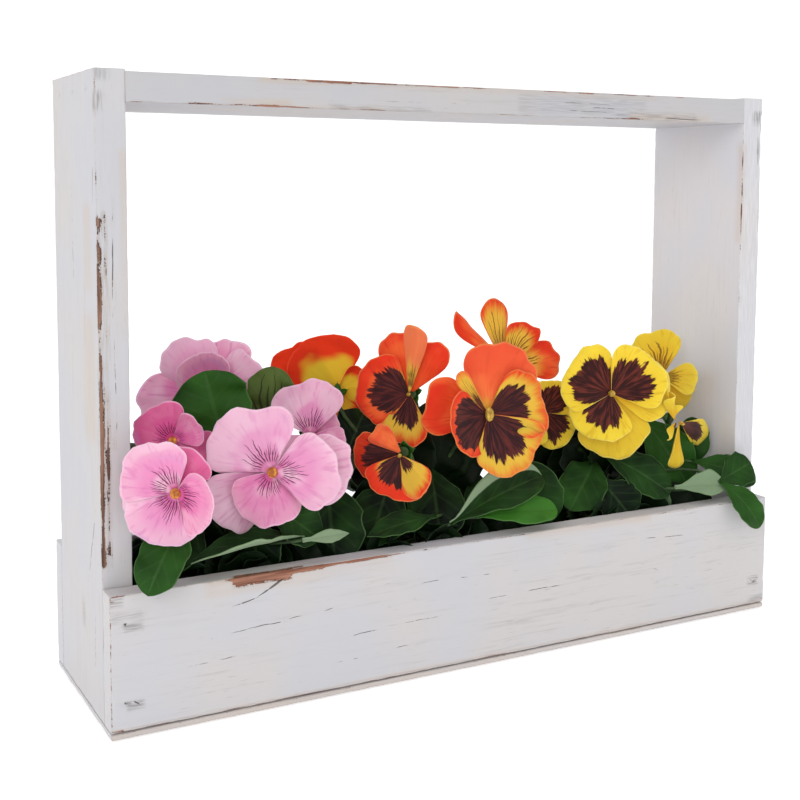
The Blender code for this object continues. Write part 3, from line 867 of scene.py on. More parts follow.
def rounding_at(name, point, grain_axis, low, high, wear):
    """How far a board's edges are rounded near a point."""
    nick = noise.noise(point * NICKS_PER_METRE + Vector((5, 0, 0)))
    radius = ROUND_LEAST + ROUND_MORE * max(nick, 0) + CHIP_DEEP * wear
    end_gap = min(point[grain_axis] - low[grain_axis], high[grain_axis] - point[grain_axis])
    if end_gap < END_REACH:
        radius *= END_ROUND.get(name, 1)
    return min(radius, min(high - low) * ROUND_MOST)


def edge_wear(name, point, low, high):
    """The wear along all the edges of a board, which its marks come on top of."""
    gap = sorted(min(point[i] - low[i], high[i] - point[i]) for i in range(3))[1]
    return EDGE_WEAR.get(name, USUAL_EDGE_WEAR) * (1 - min(gap / EDGE_WEAR_WIDE, 1))


def shape_board(shape, name, grain_axis):
    """Rounds, swells and wears a board, and keeps its marks in its points."""
    low, high = board_box(name)
    layers = [shape.verts.layers.float.new(mark) for mark in ("wear", "stain", "smudge_and_shade")]
    for vertex in shape.verts:
        point = vertex.co.copy()
        wear = wear_at(name, point, grain_axis)
        place, way = eased(point, low, high, rounding_at(name, point, grain_axis, low, high, wear))
        furrows = along_grain(point, grain_axis, FURROW_ALONG) * FURROWS_PER_METRE
        sink = SWELL * (0.5 + 0.5 * noise.noise(point * WAVES_PER_METRE))
        sink += FURROW * max(noise.noise(furrows), 0)
        sink += CHIP_DEEP * wear + pit_depth(name, point, way)
        vertex.co = place - way * sink
        marks = (max(wear, edge_wear(name, point, low, high)),
                 strongest(point / MM, STAINS.get(name, ()), grain_axis),
                 strongest(point / MM, SMUDGES_AND_DENT_SHADE.get(name, ()), grain_axis))
        for layer, mark in zip(layers, marks):
            vertex[layer] = mark


def build_board(name, grain_axis, cell, material):
    low, high = board_box(name)
    axis, _side, nails = NAILS[name]
    near_nails = [sorted({nail[i] for nail in nails}) if i != axis else () for i in range(3)]
    shape = cell_block(low, high, cell, near_nails)
    shape_board(shape, name, grain_axis)
    board = mesh_piece(name + "_painted", shape)
    board.data.shade_smooth()
    fit(board, name, "paint", material)
    print(board.name, len(board.data.polygons), "faces")


# %% Scratches on each board, and the boards themselves
# Each scratch: its two ends in mm, half its width and how far it wanders
FRONT_SCRATCHES = (
    ((-117, -56.8, 72.5), (-139, -56.8, 61), 0.8, 1.2),
    ((-136, -56.8, 61.6), (-163, -56.8, 56.6), 0.5, 1.5),
    ((-206, -56.8, 19.6), (-201, -56.8, 16.2), 0.5, 0.6),
    ((-169, -56.8, 43.4), (-66, -56.8, 50.5), 0.3, 3),
    ((-95, -56.8, 18), (-38, -56.8, 20.4), 0.3, 2),
    ((-178, -56.8, 31), (-120, -56.8, 33), 0.25, 2),
    ((-110, -56.8, 31), (-20, -56.8, 34), 0.28, 2),
    ((-60, -56.8, 55), (30, -56.8, 52), 0.22, 2),
    ((-10, -56.8, 38), (80, -56.8, 40), 0.25, 2),
    ((90, -56.8, 60), (170, -56.8, 56), 0.25, 2),
    ((120, -56.8, 41), (130, -56.8, 36), 0.3, 1.5),
    ((203, -56.8, 20.5), (209, -56.8, 16.5), 0.6, 0.6),
)
SIDE_SCRATCHES = (
    ((-216, -36, 118), (-216, -15, 66), 0.45, 4),
    ((-216, -40, 302), (-216, -37, 262), 0.3, 2),
    ((-216, -30, 60), (-216, -26, 20), 0.25, 3),
    ((-216, 5, 290), (-216, 2, 180), 0.22, 4),
    ((-216, -4.5, 58), (-216, -5.5, 44), 0.5, 1.5),
    ((-207.6, -43.5, 268), (-208.4, -43.5, 200), 0.4, 1),
    ((-207.8, -43.5, 205), (-207, -43.5, 140), 0.3, 1),
    ((213, -43.5, 300), (213.4, -43.5, 285), 0.4, 0.8),
)
RAIL_SCRATCHES = (
    ((20, -43.5, 319), (100, -43.5, 318.4), 0.22, 1),
    ((50, -43.5, 321.5), (118, -43.5, 320.5), 0.2, 1),
    ((40, -43.5, 323.5), (100, -43.5, 323), 0.2, 1),
    ((-60, -43.5, 320), (0, -43.5, 320.4), 0.18, 1),
    ((120, -43.5, 316.5), (170, -43.5, 316), 0.3, 1),
)
RED_WOOD = ((172, 122, 100), (120, 74, 56))
DARK_WOOD = ((150, 112, 92), (84, 58, 46))
# Each paint: its grain; its tone, which paints in light and shade for how much light its board gets;
# its wood; how strong its dirt and the painted shade round bare wood are; its brushing; its scratches
PAINTS = {
    "front_paint": (GRAIN_ALONG_X, 0.965, RED_WOOD, 0.75, 1.0, FRONT_SCRATCHES),
    "left_paint": (GRAIN_ALONG_Z, 0.95, DARK_WOOD, 1.0, 0.8, SIDE_SCRATCHES),
    # Lighter paint, painted light for the inner face that the left board and the plants shade
    "right_paint": (GRAIN_ALONG_Z, 1.03, DARK_WOOD, 1.0, 0.4, SIDE_SCRATCHES),
    # Darker paint on the rail, painted shade for its underside
    "rail_paint": (GRAIN_ALONG_X, 0.91, RED_WOOD, 0.7, 0.8, RAIL_SCRATCHES),
}
# Each board: the axis of its grain, how wide its cells are in mm, and its paint
BOARDS = {
    "side_left": (2, 2.6, "left_paint"),
    "side_right": (2, 2.6, "right_paint"),
    "top_rail": (0, 2.6, "rail_paint"),
    "front_board": (0, 2.6, "front_paint"),
    "back_board": (0, 2.6, "front_paint"),
    "base_board": (0, 5.0, "front_paint"),
}
paints = {name: paint_material(name, *settings) for name, settings in PAINTS.items()}
for name, (grain_axis, cell, paint) in BOARDS.items():
    build_board(name, grain_axis, cell * MM, paints[paint])

# %% [markdown]
# ## The nails
# The brads' heads sit a little below the paint, in dents of the boards' meshes. The solids stay and
# only get a finish: dull steel that the brush has partly painted over.

# %% Painted steel on the nails
STEEL = (96, 88, 84)
STEEL_PAINTED = (196, 194, 196)
STEEL_SPOTS = 900
PAINTED_FROM = (0.42, 0.56)
STEEL_ROUGH = (0.4, 0.35)


def steel_material():
    made, tree, shader = new_material("dull_steel")
    spots = mottle(tree, object_place(tree), STEEL_SPOTS, 3, 0.6)
    painted = step_up(tree, spots, *PAINTED_FROM)
    feed(tree, shader, {"Base Color": between(tree, painted, STEEL, STEEL_PAINTED),
                        "Metallic": minus(tree, 1.0, painted),
                        "Roughness": scaled(tree, spots, *STEEL_ROUGH)})
    return made


dull_steel = steel_material()
nails = [node for name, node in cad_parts.items() if name.startswith("brad_")]
for nail in nails:
    nail.data.materials.clear()
    nail.data.materials.append(dull_steel)
print("nails:", len(nails))

# %% [markdown]
# ## The soil
# One uneven sheet would look like cloth, so the block gets a fine grid with noise of two sizes, and
# a few hundred crumbs are set into its top.

# %% Uneven soil with crumbs
SOIL_CELL = 3.0 * MM
SOIL_SINK = 3.5 * MM
SOIL_LUMPS_PER_METRE = 60
SOIL_GRAINS_PER_METRE = 200
SOIL_UNEVEN = 0.33
SOIL_DARK = (28, 22, 18)
SOIL_LIGHT = (74, 58, 44)
SOIL_SPECKS = 700
SOIL_LIGHT_FROM = (0.4, 0.7)
CRUMBS = 420
CRUMB_LEAST = 1.2 * MM
CRUMB_MOST = 3.2 * MM
CRUMB_SUNK = 0.2
CRUMB_NICKS_PER_METRE = 900


def soil_height(x, y, top):
    lumps = noise.noise(Vector((x, y, 0)) * SOIL_LUMPS_PER_METRE)
    lumps += 0.5 * noise.noise(Vector((x, y, 3)) * SOIL_GRAINS_PER_METRE)
    return top - SOIL_SINK * (0.5 - SOIL_UNEVEN * lumps)


def add_crumb(shape, draw, low, high):
    x = draw.uniform(low.x + CRUMB_MOST, high.x - CRUMB_MOST)
    y = draw.uniform(low.y + CRUMB_MOST, high.y - CRUMB_MOST)
    size = draw.uniform(CRUMB_LEAST, CRUMB_MOST)
    place = Matrix.Translation((x, y, soil_height(x, y, high.z) - size * CRUMB_SUNK))
    crumb = bmesh.ops.create_icosphere(shape, subdivisions=1, radius=size, matrix=place)
    for vertex in crumb["verts"]:
        vertex.co += noise.noise_vector(vertex.co * CRUMB_NICKS_PER_METRE) * size * 0.5
        vertex.co.z = min(vertex.co.z, high.z + CRUMB_MOST)


def soil_material():
    made, tree, shader = new_material("dark_soil")
    grains = mottle(tree, object_place(tree), SOIL_SPECKS, 4, 0.7)
    colour = between(tree, step_up(tree, grains, *SOIL_LIGHT_FROM), SOIL_DARK, SOIL_LIGHT)
    feed(tree, shader, {"Base Color": colour, "Roughness": 0.95,
                        "Normal": bump(tree, grains, 1.0 * MM)})
    return made


def build_soil():
    low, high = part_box("soil")
    shape = cell_block(low, high, SOIL_CELL, ((), (), ()))
    for vertex in shape.verts:
        if vertex.co.z > high.z - 0.1 * MM:
            vertex.co.z = soil_height(vertex.co.x, vertex.co.y, high.z)
    draw = random.Random(7)
    for _ in range(CRUMBS):
        add_crumb(shape, draw, low, high)
    soil = mesh_piece("soil_crumbs", shape)
    fit(soil, "soil", "soil", soil_material())
    return soil


print("soil:", len(build_soil().data.polygons), "faces")

# %% [markdown]
# ## The plants' layout
# The blooms, leaves and crowns below are the solids' own, in millimetres, apart from two yellow
# blooms and four pink leaves, which are moved or reshaped by some millimetres.
# A bloom is its plant, the middle of its face, where the face looks, the size of its eye and its
# lobes. A leaf is its plant, its base, its tip, where its upper face looks, its width and its arch.

# %% Sizes that the solids share
SOIL_TOP = 45 * MM
CROWN_RADIUS = 5 * MM
CROWN_DEEP = 28 * MM
CROWN_ABOVE = 12 * MM
CROWN_ROOTS = 0.6
GAP = 0.3 * MM
PETAL_ROOT = 1.5 * MM
LAYER_STEP = 1.3 * MM
THROAT_RADIUS = 3.5 * MM
THROAT_HALF = 3.4 * MM
CALYX_LONG = 6 * MM
CALYX_NARROW = 1.5 * MM
STEM_RADIUS = 1.2 * MM
STALK_RADIUS = 0.9 * MM
LEAF_WIDEST = 0.6
LEAF_SLIM = 1.3
LEAF_FOLD = 0.16
LEAF_WAVE = 0.09
LEAF_SCALLOPS = 2.5
STALK_WIDE = 1.3 * MM
STALK_INTO_LEAF = 0.04
CROWNS = {"pink": (-130, 4), "orange": (-8, 4), "yellow": (122, 4)}
print("crowns:", CROWNS)

# %% The blooms
# A lobe is its angle clockwise from the top, reach in mm, half spread, bend to the face and layer
BLOOMS = {
    "pink_1": ("pink", (-185, -68, 125), (-26, -4), 2.8, (
        (-26, 29, 68, 20, 1), (84, 26, 66, 44, 2), (212, 30, 68, 8, 0), (26, 31, 50, 6, -1),
        (262, 31, 50, 0, -2))),
    "pink_2": ("pink", (-172, -24, 141), (-24, 10), 2.4, (
        (-30, 22, 66, 22, 1), (52, 20, 52, 46, 2), (180, 20, 62, 16, 0), (112, 28, 40, 8, -1))),
    "pink_3": ("pink", (-136, 20, 155), (-30, 22), 2.4, (
        (-30, 25, 66, 52, 2), (58, 30, 56, 14, 1), (-38, 38, 66, 10, 0), (-86, 42, 58, -6, -1),
        (22, 36, 60, 4, -2), (190, 28, 60, 10, -1))),
    "pink_4": ("pink", (-127, -50, 125), (-22, 6), 3.0, (
        (-24, 39, 74, 14, 1), (84, 36, 62, 26, 2), (193, 32, 70, 12, 0), (226, 42, 40, 12, -1),
        (102, 43, 46, 6, -2))),
    "pink_5": ("pink", (-91, -18, 135), (-20, 8), 2.4, (
        (-14, 33, 56, 14, 1), (118, 27, 50, 18, 2), (220, 28, 54, 18, 0), (46, 27, 40, 4, -1))),
    "orange_1": ("orange", (-56, 20, 153), (152, 14), 2.2, (
        (26, 37, 62, -6, 0), (72, 41, 46, 8, 1), (-75, 26, 54, -24, -1), (-150, 26, 60, 12, 2))),
    "orange_2": ("orange", (-31, -24, 155), (-40, 4), 2.2, (
        (-82, 31, 64, 14, 1), (178, 31, 54, 30, 0), (6, 43, 17, 22, 2), (-22, 37, 48, -6, -1),
        (40, 36, 46, 4, -2))),
    "orange_3": ("orange", (-53, -55, 128), (-44, -4), 2.0, (
        (188, 28, 68, 20, 1), (108, 22, 42, 54, 2), (-40, 22, 52, 24, 0), (-98, 27, 50, 6, -1))),
    "orange_4": ("orange", (7, -48, 144), (-14, 6), 2.2, (
        (62, 36, 60, 14, 1), (158, 37, 62, 12, 2), (252, 34, 62, 50, 0), (-34, 29, 15, 36, 1),
        (16, 41, 56, 8, -1), (276, 38, 36, 18, -2))),
    "orange_5": ("orange", (14, 0, 122), (-30, 6), 2.0, (
        (-64, 22, 56, 16, 1), (56, 20, 54, 22, 2), (184, 23, 52, 10, 0))),
    "orange_6": ("orange", (58, 13, 162), (2, 34), 2.2, (
        (-48, 44, 15, 14, 1), (-8, 44, 24, 26, 0), (44, 37, 30, 24, 2), (104, 37, 22, 16, -1),
        (160, 20, 34, 26, -1), (218, 20, 36, 30, -2))),
    "yellow_1": ("yellow", (104, -36, 147), (-24, 4), 2.0, (
        (-50, 33, 60, 12, 1), (50, 34, 58, 14, 2), (200, 30, 68, 12, 0), (98, 39, 48, 4, -1),
        (173, 41, 48, 2, -2))),
    "yellow_2": ("yellow", (74, -5, 133), (-18, 2), 2.0, (
        (40, 24, 60, 14, 1), (124, 24, 58, 16, 0), (230, 22, 60, 14, 2), (-50, 22, 54, 10, -1))),
    "yellow_3": ("yellow", (176, 2, 147), (-26, 14), 2.0, (
        (-12, 32, 46, 20, 1), (90, 24, 50, 30, 2), (250, 26, 54, 14, -1), (128, 25, 40, 2, -2))),
    "yellow_4": ("yellow", (149, -46, 127), (24, -14), 2.0, (
        (168, 34, 14, 8, 1), (108, 34, 22, 12, 2), (222, 22, 26, 8, 0), (-40, 28, 26, 6, -1),
        (20, 20, 32, 4, -2))),
}
print("blooms:", len(BLOOMS), "lobes:", sum(len(bloom[4]) for bloom in BLOOMS.values()))

# %% The leaves
LEAVES = (
    ("pink", (-137, -8, 130), (-147, -2, 173), (-28, 10), 45, 3),
    ("pink", (-110, -3, 136), (-107, -3, 173), (-28, 10), 29, 2),
    ("pink", (-172, -46, 104), (-199, -65, 74), (-28, 40), 27, 6),
    ("pink", (-104, -44, 86), (-172, -50, 82), (-28, 60), 24, 4),
    ("pink", (-110, -50, 86), (-82, -49, 86), (-10, 20), 8, 2),
    ("pink", (-125, -26, 98), (-131, -33, 66), (-28, 20), 30, 3),
    ("pink", (-124, -34, 104), (-98, -45, 84), (-28, 35), 24, 3),
    ("pink", (-80, -16, 112), (-85, -38, 66), (-28, 15), 40, 4),
    ("pink", (-152, -14, 92), (-186, -30, 78), (-28, 30), 34, 4),
    ("pink", (-165, 16, 96), (-186, 32, 128), (150, 20), 30, 4),
    ("pink", (-110, 24, 96), (-88, 34, 132), (170, 20), 32, 4),
    ("pink", (-145, 26, 84), (-168, 50, 84), (170, 50), 26, 4),
    ("pink", (-118, 28, 84), (-98, 51, 84), (190, 50), 26, 4),
    ("pink", (-122, 8, 84), (-126, 4, 121), (-28, 0), 34, 3),
    ("orange", (-61, 0, 116), (-46, 4, 142), (-28, 10), 30, 2),
    ("orange", (-38, -14, 104), (-62, -34, 72), (-28, 20), 34, 4),
    ("orange", (-10, -12, 108), (-18, -38, 70), (-28, 20), 36, 4),
    ("orange", (-16, -46, 82), (52, -38, 101), (-20, 50), 26, 4),
    ("orange", (1, -46, 84), (52, -54, 84), (-20, 50), 23, 3),
    ("orange", (-22, -40, 86), (-70, -47, 82), (-30, 50), 18, 2),
    ("orange", (40, -14, 112), (60, -38, 72), (-28, 20), 36, 4),
    ("orange", (18, -10, 100), (24, -34, 70), (-20, 20), 30, 4),
    ("orange", (-36, 22, 96), (-62, 34, 125), (170, 20), 30, 4),
    ("orange", (4, 26, 96), (22, 38, 134), (180, 20), 32, 4),
    ("orange", (-26, 28, 84), (-48, 51, 84), (170, 50), 26, 4),
    ("orange", (12, 28, 84), (36, 51, 84), (190, 50), 26, 4),
    ("yellow", (112, -12, 100), (76, -34, 76), (-28, 30), 32, 4),
    ("yellow", (103, -26, 92), (117, -42, 68), (-28, 25), 30, 3),
    ("yellow", (109, -20, 106), (148, -42, 80), (-28, 40), 28, 4),
    ("yellow", (148, -10, 126), (174, -28, 80), (-28, 30), 36, 4),
    ("yellow", (150, -44, 84), (190, -51, 82), (-28, 40), 16, 2),
    ("yellow", (181, -50, 86), (203, -55, 97), (-28, 20), 24, 2),
    ("yellow", (176, -30, 96), (207, -56, 84), (-28, 50), 24, 3),
    ("yellow", (182, -50, 86), (200, -68, 58), (-28, 40), 20, 6),
    ("yellow", (184, -20, 84), (186, -18, 122), (-28, 0), 24, 2),
    ("yellow", (138, -22, 88), (140, -38, 62), (-28, 20), 32, 3),
    ("yellow", (142, 22, 98), (166, 34, 130), (170, 20), 32, 4),
    ("yellow", (104, 24, 98), (82, 34, 128), (190, 20), 32, 4),
    ("yellow", (134, 28, 84), (158, 51, 84), (180, 50), 26, 4),
    ("yellow", (104, 28, 84), (80, 51, 84), (190, 50), 26, 4),
    ("yellow", (98, 8, 92), (82, 12, 122), (-28, 10), 34, 3),
    ("yellow", (106, 14, 74), (110, 12, 108), (-28, 0), 30, 3),
)
print("leaves:", len(LEAVES))

# %% [markdown]
# ## Petal cloth
# The petals are thin cloth, cut out and printed. Pink ones fade from a strong pink at the throat to
# a pale lilac rim and have fans of fine plum veins. Orange and yellow ones have dark maroon
# blotches whose ragged edges run out in streaks. Over the print, painted shade darkens the creases,
# pale clouds are partly a painted sheen, and a painted highlight runs along the rim. The print is
# drawn in the petal's own coordinates: u runs across it and v from the throat to the rim. Three more
# maps hold what differs from petal to petal: how far its prints reach, its stripes, its tone, which
# is partly its own dye and partly painted light and shade, and a number that shifts the noise.

# %% Veins, as a node group
# How many jags a vein has across and along the petal, and how far it sways and jags
JAGS = (16.0, 26.0)
VEIN_SWAYS = 3.0
VEIN_SWAY = 0.12
VEIN_JAG = 0.022
# How much shorter the veins at the sides are, how a vein thins out, and its soft edge and ends
SHORT_AT_SIDES = 0.6
VEIN_THINS = (-0.6, 1.25)
VEIN_EDGE = (0.4, 1.1)
VEIN_BEGINS = 0.06
VEIN_FADES = (-0.08, 0.0)


def swayed(group, u, v, seed):
    """The place across the petal, moved about so that a line along it sways."""
    across, along = JAGS
    jags = vector_of(group, times(group, u, across), times(group, v, along), seed)
    sways = mottle(group, vector_of(group, u, v, seed), VEIN_SWAYS, 1)
    sway = scaled(group, sways, VEIN_SWAY, u)
    return scaled(group, mottle(group, jags, 1.0, 2), VEIN_JAG, sway)


def vein_end(group, fan, u, reach, seed):
    """How far out a vein ends: its own part of the reach, and less towards the sides."""
    ray = vector_of(group, maths(group, "FLOOR", fan), seed, 0.0)
    chance = add_node(group, "TexWhiteNoise", {"Vector": ray}).outputs["Value"]
    end = times(group, reach, scaled(group, chance, 0.5, 0.5))
    side = off_middle(group, u)
    return times(group, end, scaled(group, times(group, side, side), -SHORT_AT_SIDES, 1.0))


def vein_group():
    """A fan of fine lines from the throat, each ending at its own place."""
    numbers = ("Seed", "Count", "Reach", "Width", "Start")
    group, inside, outside = new_group("Petal veins", ("Petal",), numbers, ("Veins",))
    u, v, _ = axes(group, inside["Petal"])
    fan = times(group, swayed(group, u, v, inside["Seed"]), inside["Count"])
    end = vein_end(group, fan, u, inside["Reach"], inside["Seed"])
    apart = divided(group, times(group, beside_line(group, fan), v), inside["Count"])
    width = times(group, inside["Width"], scaled(group, divided(group, v, end), *VEIN_THINS))
    line = step_down(group, divided(group, apart, width), *VEIN_EDGE)
    begun = step_up(group, v, inside["Start"], plus(group, inside["Start"], VEIN_BEGINS))
    not_ended = step_down(group, minus(group, v, end), *VEIN_FADES)
    feed(group, outside, {"Veins": times(group, times(group, line, begun), not_ended)})
    return group


VEINS = vein_group()
print("vein group:", len(VEINS.nodes), "nodes")

# %% Blotches, as a node group
# How many streaks the noise has across and along the petal, and how strong its spikes are
STREAKS = (20.0, 1.6)
STREAK_ROUGHNESS = 0.65
SPIKES = 0.35
SPIKE_SCALE = 2.7
SWING = 0.35
SWING_SCALE = 0.16
SIDES_POWER = 3.0
BLOTCH_FROM = (0.02, 0.1)


def ragged_edge(group, place):
    """How far the edge of a blotch runs out: streaks, with finer spikes between them."""
    streaks = mottle(group, place, 1.0, 3, STREAK_ROUGHNESS)
    spikes = mottle(group, place, SPIKE_SCALE, 1)
    return minus(group, scaled(group, spikes, SPIKES, streaks), 0.5 + SPIKES / 2)


def blotch_group():
    """A dark patch at the throat whose edge runs out in streaks."""
    numbers = ("Seed", "Reach", "Ragged", "Soft", "Sides")
    group, inside, outside = new_group("Petal blotch", ("Petal",), numbers, ("Blotch",))
    u, v, _ = axes(group, inside["Petal"])
    across, along = STREAKS
    place = vector_of(group, times(group, u, across), times(group, v, along), inside["Seed"])
    edge = times(group, ragged_edge(group, place), inside["Ragged"])
    swing = minus(group, mottle(group, place, SWING_SCALE, 1), 0.5)
    margin = plus(group, minus(group, inside["Reach"], v), scaled(group, swing, SWING, edge))
    short = maths(group, "POWER", off_middle(group, u), SIDES_POWER)
    margin = minus(group, margin, times(group, short, inside["Sides"]))
    inked = step_up(group, margin, times(group, inside["Soft"], -1.0), inside["Soft"])
    there = step_up(group, inside["Reach"], *BLOTCH_FROM)
    feed(group, outside, {"Blotch": times(group, inked, there)})
    return group


BLOTCH = blotch_group()
print("blotch group:", len(BLOTCH.nodes), "nodes")

# %% The cloth under the print, as a node group
# How many ribs the creases have across and along a petal, and the scales of the other noise
RIBS = (34.0, 3.0)
WEAVE_SCALE = 1600
TONE_SCALE = 45
CLOUD_SCALE = 2.2


def cloth_group():
    """The fine weave, soft creases and slow changes of tone of dyed cloth."""
    gives = ("Weave", "Creases", "Tone", "Clouds")
    group, inside, outside = new_group("Petal cloth", ("Place", "Petal"), ("Seed",), gives)
    u, v, _ = axes(group, inside["Petal"])
    across, along = RIBS
    ribs = vector_of(group, times(group, u, across), times(group, v, along), inside["Seed"])
    own = vector_of(group, u, v, inside["Seed"])
    feed(group, outside, {"Weave": mottle(group, inside["Place"], WEAVE_SCALE, 1),
                          "Creases": mottle(group, ribs, 1.0, 2),
                          "Tone": mottle(group, inside["Place"], TONE_SCALE, 2),
                          "Clouds": mottle(group, own, CLOUD_SCALE, 1)})
    return group


CLOTH = cloth_group()
print("cloth group:", len(CLOTH.nodes), "nodes")

# %% Maps, shades and stripes of the petals, and their backs
TONE_MOVES = 0.5
BACK_RIM_FROM = (0.52, 0.72)
STRIPES_SHOWN = 0.8
# Two fans of stripes: how many there are, how wide and where they start
STRIPES = ((9.0, 0.012, 0.05), (19.0, 0.006, 0.2))


def petal_start(name):
    """A petal material with its maps: the petal's place, its print and its own number."""
    made, tree, shader = new_material(name)
    petal = uv(tree, "petal")
    reach, band, _ = axes(tree, uv(tree, "print"))
    stripes, dye_and_light, _ = axes(tree, uv(tree, "tone"))
    seed, _, _ = axes(tree, uv(tree, "draw"))
    cloth = use_group(tree, CLOTH, {"Place": object_place(tree), "Petal": petal, "Seed": seed})
    maps = {"petal": petal, "reach": reach, "band": band, "stripes": stripes, "dye_and_light": dye_and_light,
            "seed": seed, "v": axes(tree, petal)[1]}
    return made, tree, shader, maps, cloth


def moved_out(tree, maps, cloth):
    """The place along the petal, moved in and out by the slow changes of tone."""
    return scaled(tree, minus(tree, cloth["Tone"], 0.5), TONE_MOVES, maps["v"])


def dye_and_painted_light(tree, maps, colour, deepest, palest):
    """A petal's tone, partly dye and partly painted light and shade: towards its deepest colour above
    0, its palest below.
    """
    colour = laid(tree, colour, deepest, maps["dye_and_light"])
    return laid(tree, colour, palest, maps["dye_and_light"], -1.0)


def striped(tree, maps, colour, ink):
    """Dark stripes in a fan, on the petals that have them."""
    for count, width, start in STRIPES:
        feeds = {"Petal": maps["petal"], "Seed": maps["seed"], "Count": count, "Width": width,
                 "Reach": maps["stripes"], "Start": start}
        colour = laid(tree, colour, ink, use_group(tree, VEINS, feeds)["Veins"], STRIPES_SHOWN)
    return colour


def petal_finish(tree, shader, colour, cloth):
    """Thin matt cloth that lets some light through."""
    weave = bump(tree, cloth["Weave"], 0.12 * MM, 0.4)
    feed(tree, shader, {"Base Color": colour, "Roughness": 0.78, "Specular IOR Level": 0.2,
                        "Sheen Weight": 0.06, "Subsurface Weight": 0.45,
                        "Subsurface Radius": (1.0, 0.8, 0.8), "Subsurface Scale": 1.6 * MM,
                        "Normal": bump(tree, cloth["Creases"], 0.4 * MM, 0.45, weave)})


def petal_back_material(name, middle_colour, rim_colour):
    """The back of the petals: paler, with no print."""
    made, tree, shader, maps, cloth = petal_start(name)
    rim = step_up(tree, moved_out(tree, maps, cloth), *BACK_RIM_FROM)
    colour = between(tree, rim, middle_colour, rim_colour)
    colour = dye_and_painted_light(tree, maps, colour, rim_colour, middle_colour)
    petal_finish(tree, shader, colour, cloth)
    return made


PINK_BACK = petal_back_material("pink_cloth_back", (214, 118, 168), (232, 168, 196))
ORANGE_BACK = petal_back_material("orange_cloth_back", (232, 196, 50), (226, 54, 18))
YELLOW_BACK = petal_back_material("yellow_cloth_back", (206, 166, 40), (228, 198, 60))
print("backs:", PINK_BACK.name, ORANGE_BACK.name, YELLOW_BACK.name)

# %% Pink cloth with plum veins
# The crease ink is painted shade, the cloud ink partly a painted sheen, the edge ink a painted
# highlight
PINK = {
    "throat": (204, 98, 156), "middle": (228, 148, 190), "rim": (230, 174, 198),
    "cloud_and_sheen": (242, 196, 214), "crease": (208, 116, 172), "deepest": (214, 62, 136),
    "palest": (246, 190, 216), "violet": (190, 136, 190), "vein": (78, 20, 58),
    "edge": (246, 204, 222),
}
PINK_MIDDLE_FROM = (0.02, 0.46)
PINK_RIM_FROM = (0.5, 0.95)
PINK_SHEEN_CLOUDS_FROM = (0.46, 0.66)
PINK_CREASE_SHADE_TO = (0.3, 0.5)
VIOLET_TO = (0.3, 0.4)
VIOLET_FROM = (0.5, 1.0)
PINK_RIM_HIGHLIGHT_FROM = (0.955, 0.985)
# Two fans of veins: how many, how wide, where they start and their part of the whole reach
PINK_VEINS = ((15.0, 0.0034, 0.1, 1.0), (31.0, 0.0024, 0.2, 0.9))


def pink_veined(tree, maps, colour):
    for count, width, start, part in PINK_VEINS:
        feeds = {"Petal": maps["petal"], "Seed": maps["seed"], "Count": count, "Width": width,
                 "Start": start, "Reach": times(tree, maps["reach"], part)}
        colour = laid(tree, colour, PINK["vein"], use_group(tree, VEINS, feeds)["Veins"], 0.9)
    return colour


def pink_material():
    made, tree, shader, maps, cloth = petal_start("pink_cloth")
    far = moved_out(tree, maps, cloth)
    colour = between(tree, step_up(tree, far, *PINK_MIDDLE_FROM), PINK["throat"],
                     PINK["middle"])
    colour = laid(tree, colour, PINK["rim"], step_up(tree, far, *PINK_RIM_FROM))
    # Pale clouds: partly paler dye and partly a painted sheen
    clouds_and_sheen = step_up(tree, cloth["Clouds"], *PINK_SHEEN_CLOUDS_FROM)
    colour = laid(tree, colour, PINK["cloud_and_sheen"], clouds_and_sheen, 0.8)
    # Painted shade, darker along the cloth's creases
    creases = step_down(tree, cloth["Creases"], *PINK_CREASE_SHADE_TO)
    colour = laid(tree, colour, PINK["crease"], creases, 0.45)
    colour = dye_and_painted_light(tree, maps, colour, PINK["deepest"], PINK["palest"])
    violet = times(tree, step_down(tree, cloth["Clouds"], *VIOLET_TO),
                   step_up(tree, maps["v"], *VIOLET_FROM))
    colour = laid(tree, colour, PINK["violet"], violet, 0.5)
    colour = pink_veined(tree, maps, colour)
    # A painted highlight along the rim
    colour = laid(tree, colour, PINK["edge"], step_up(tree, maps["v"], *PINK_RIM_HIGHLIGHT_FROM), 0.5)
    petal_finish(tree, shader, colour, cloth)
    return made


PINK_CLOTH = pink_material()
print("pink inks:", len(PINK))

# %% Orange and yellow cloth with maroon blotches
# Here too the crease ink is painted shade, the cloud ink partly a painted sheen, the edge a painted
# highlight
ORANGE = {
    "throat": (236, 88, 36), "rim": (224, 52, 24), "cloud_and_sheen": (246, 118, 56),
    "crease": (206, 46, 22), "deepest": (140, 22, 14), "palest": (240, 146, 92),
    "golden": (224, 180, 62), "blotch": (46, 20, 24), "maroon": (92, 38, 34),
    "stripe": (92, 48, 26), "edge": (240, 156, 84),
}
YELLOW = {
    "throat": (226, 174, 28), "rim": (240, 206, 58), "crease": (212, 164, 34),
    "deepest": (198, 152, 30), "palest": (248, 226, 110), "blotch": (46, 18, 18),
    "maroon": (104, 44, 34), "stripe": (112, 82, 30), "edge": (250, 232, 130),
}
DYE_MOVES = 0.6
DYED_SHEEN_CLOUDS_FROM = (0.46, 0.7)
DYED_CREASE_SHADE_TO = (0.3, 0.48)
DYED_RIM_HIGHLIGHT_FROM = (0.965, 0.99)
GOLDEN_BAND = {"Ragged": 0.28, "Soft": 0.15, "Sides": 0.05}
ORANGE_BLOTCH = {"Ragged": 0.5, "Soft": 0.03, "Sides": 0.6}
YELLOW_BLOTCH = {"Ragged": 0.6, "Soft": 0.025, "Sides": 0.6}
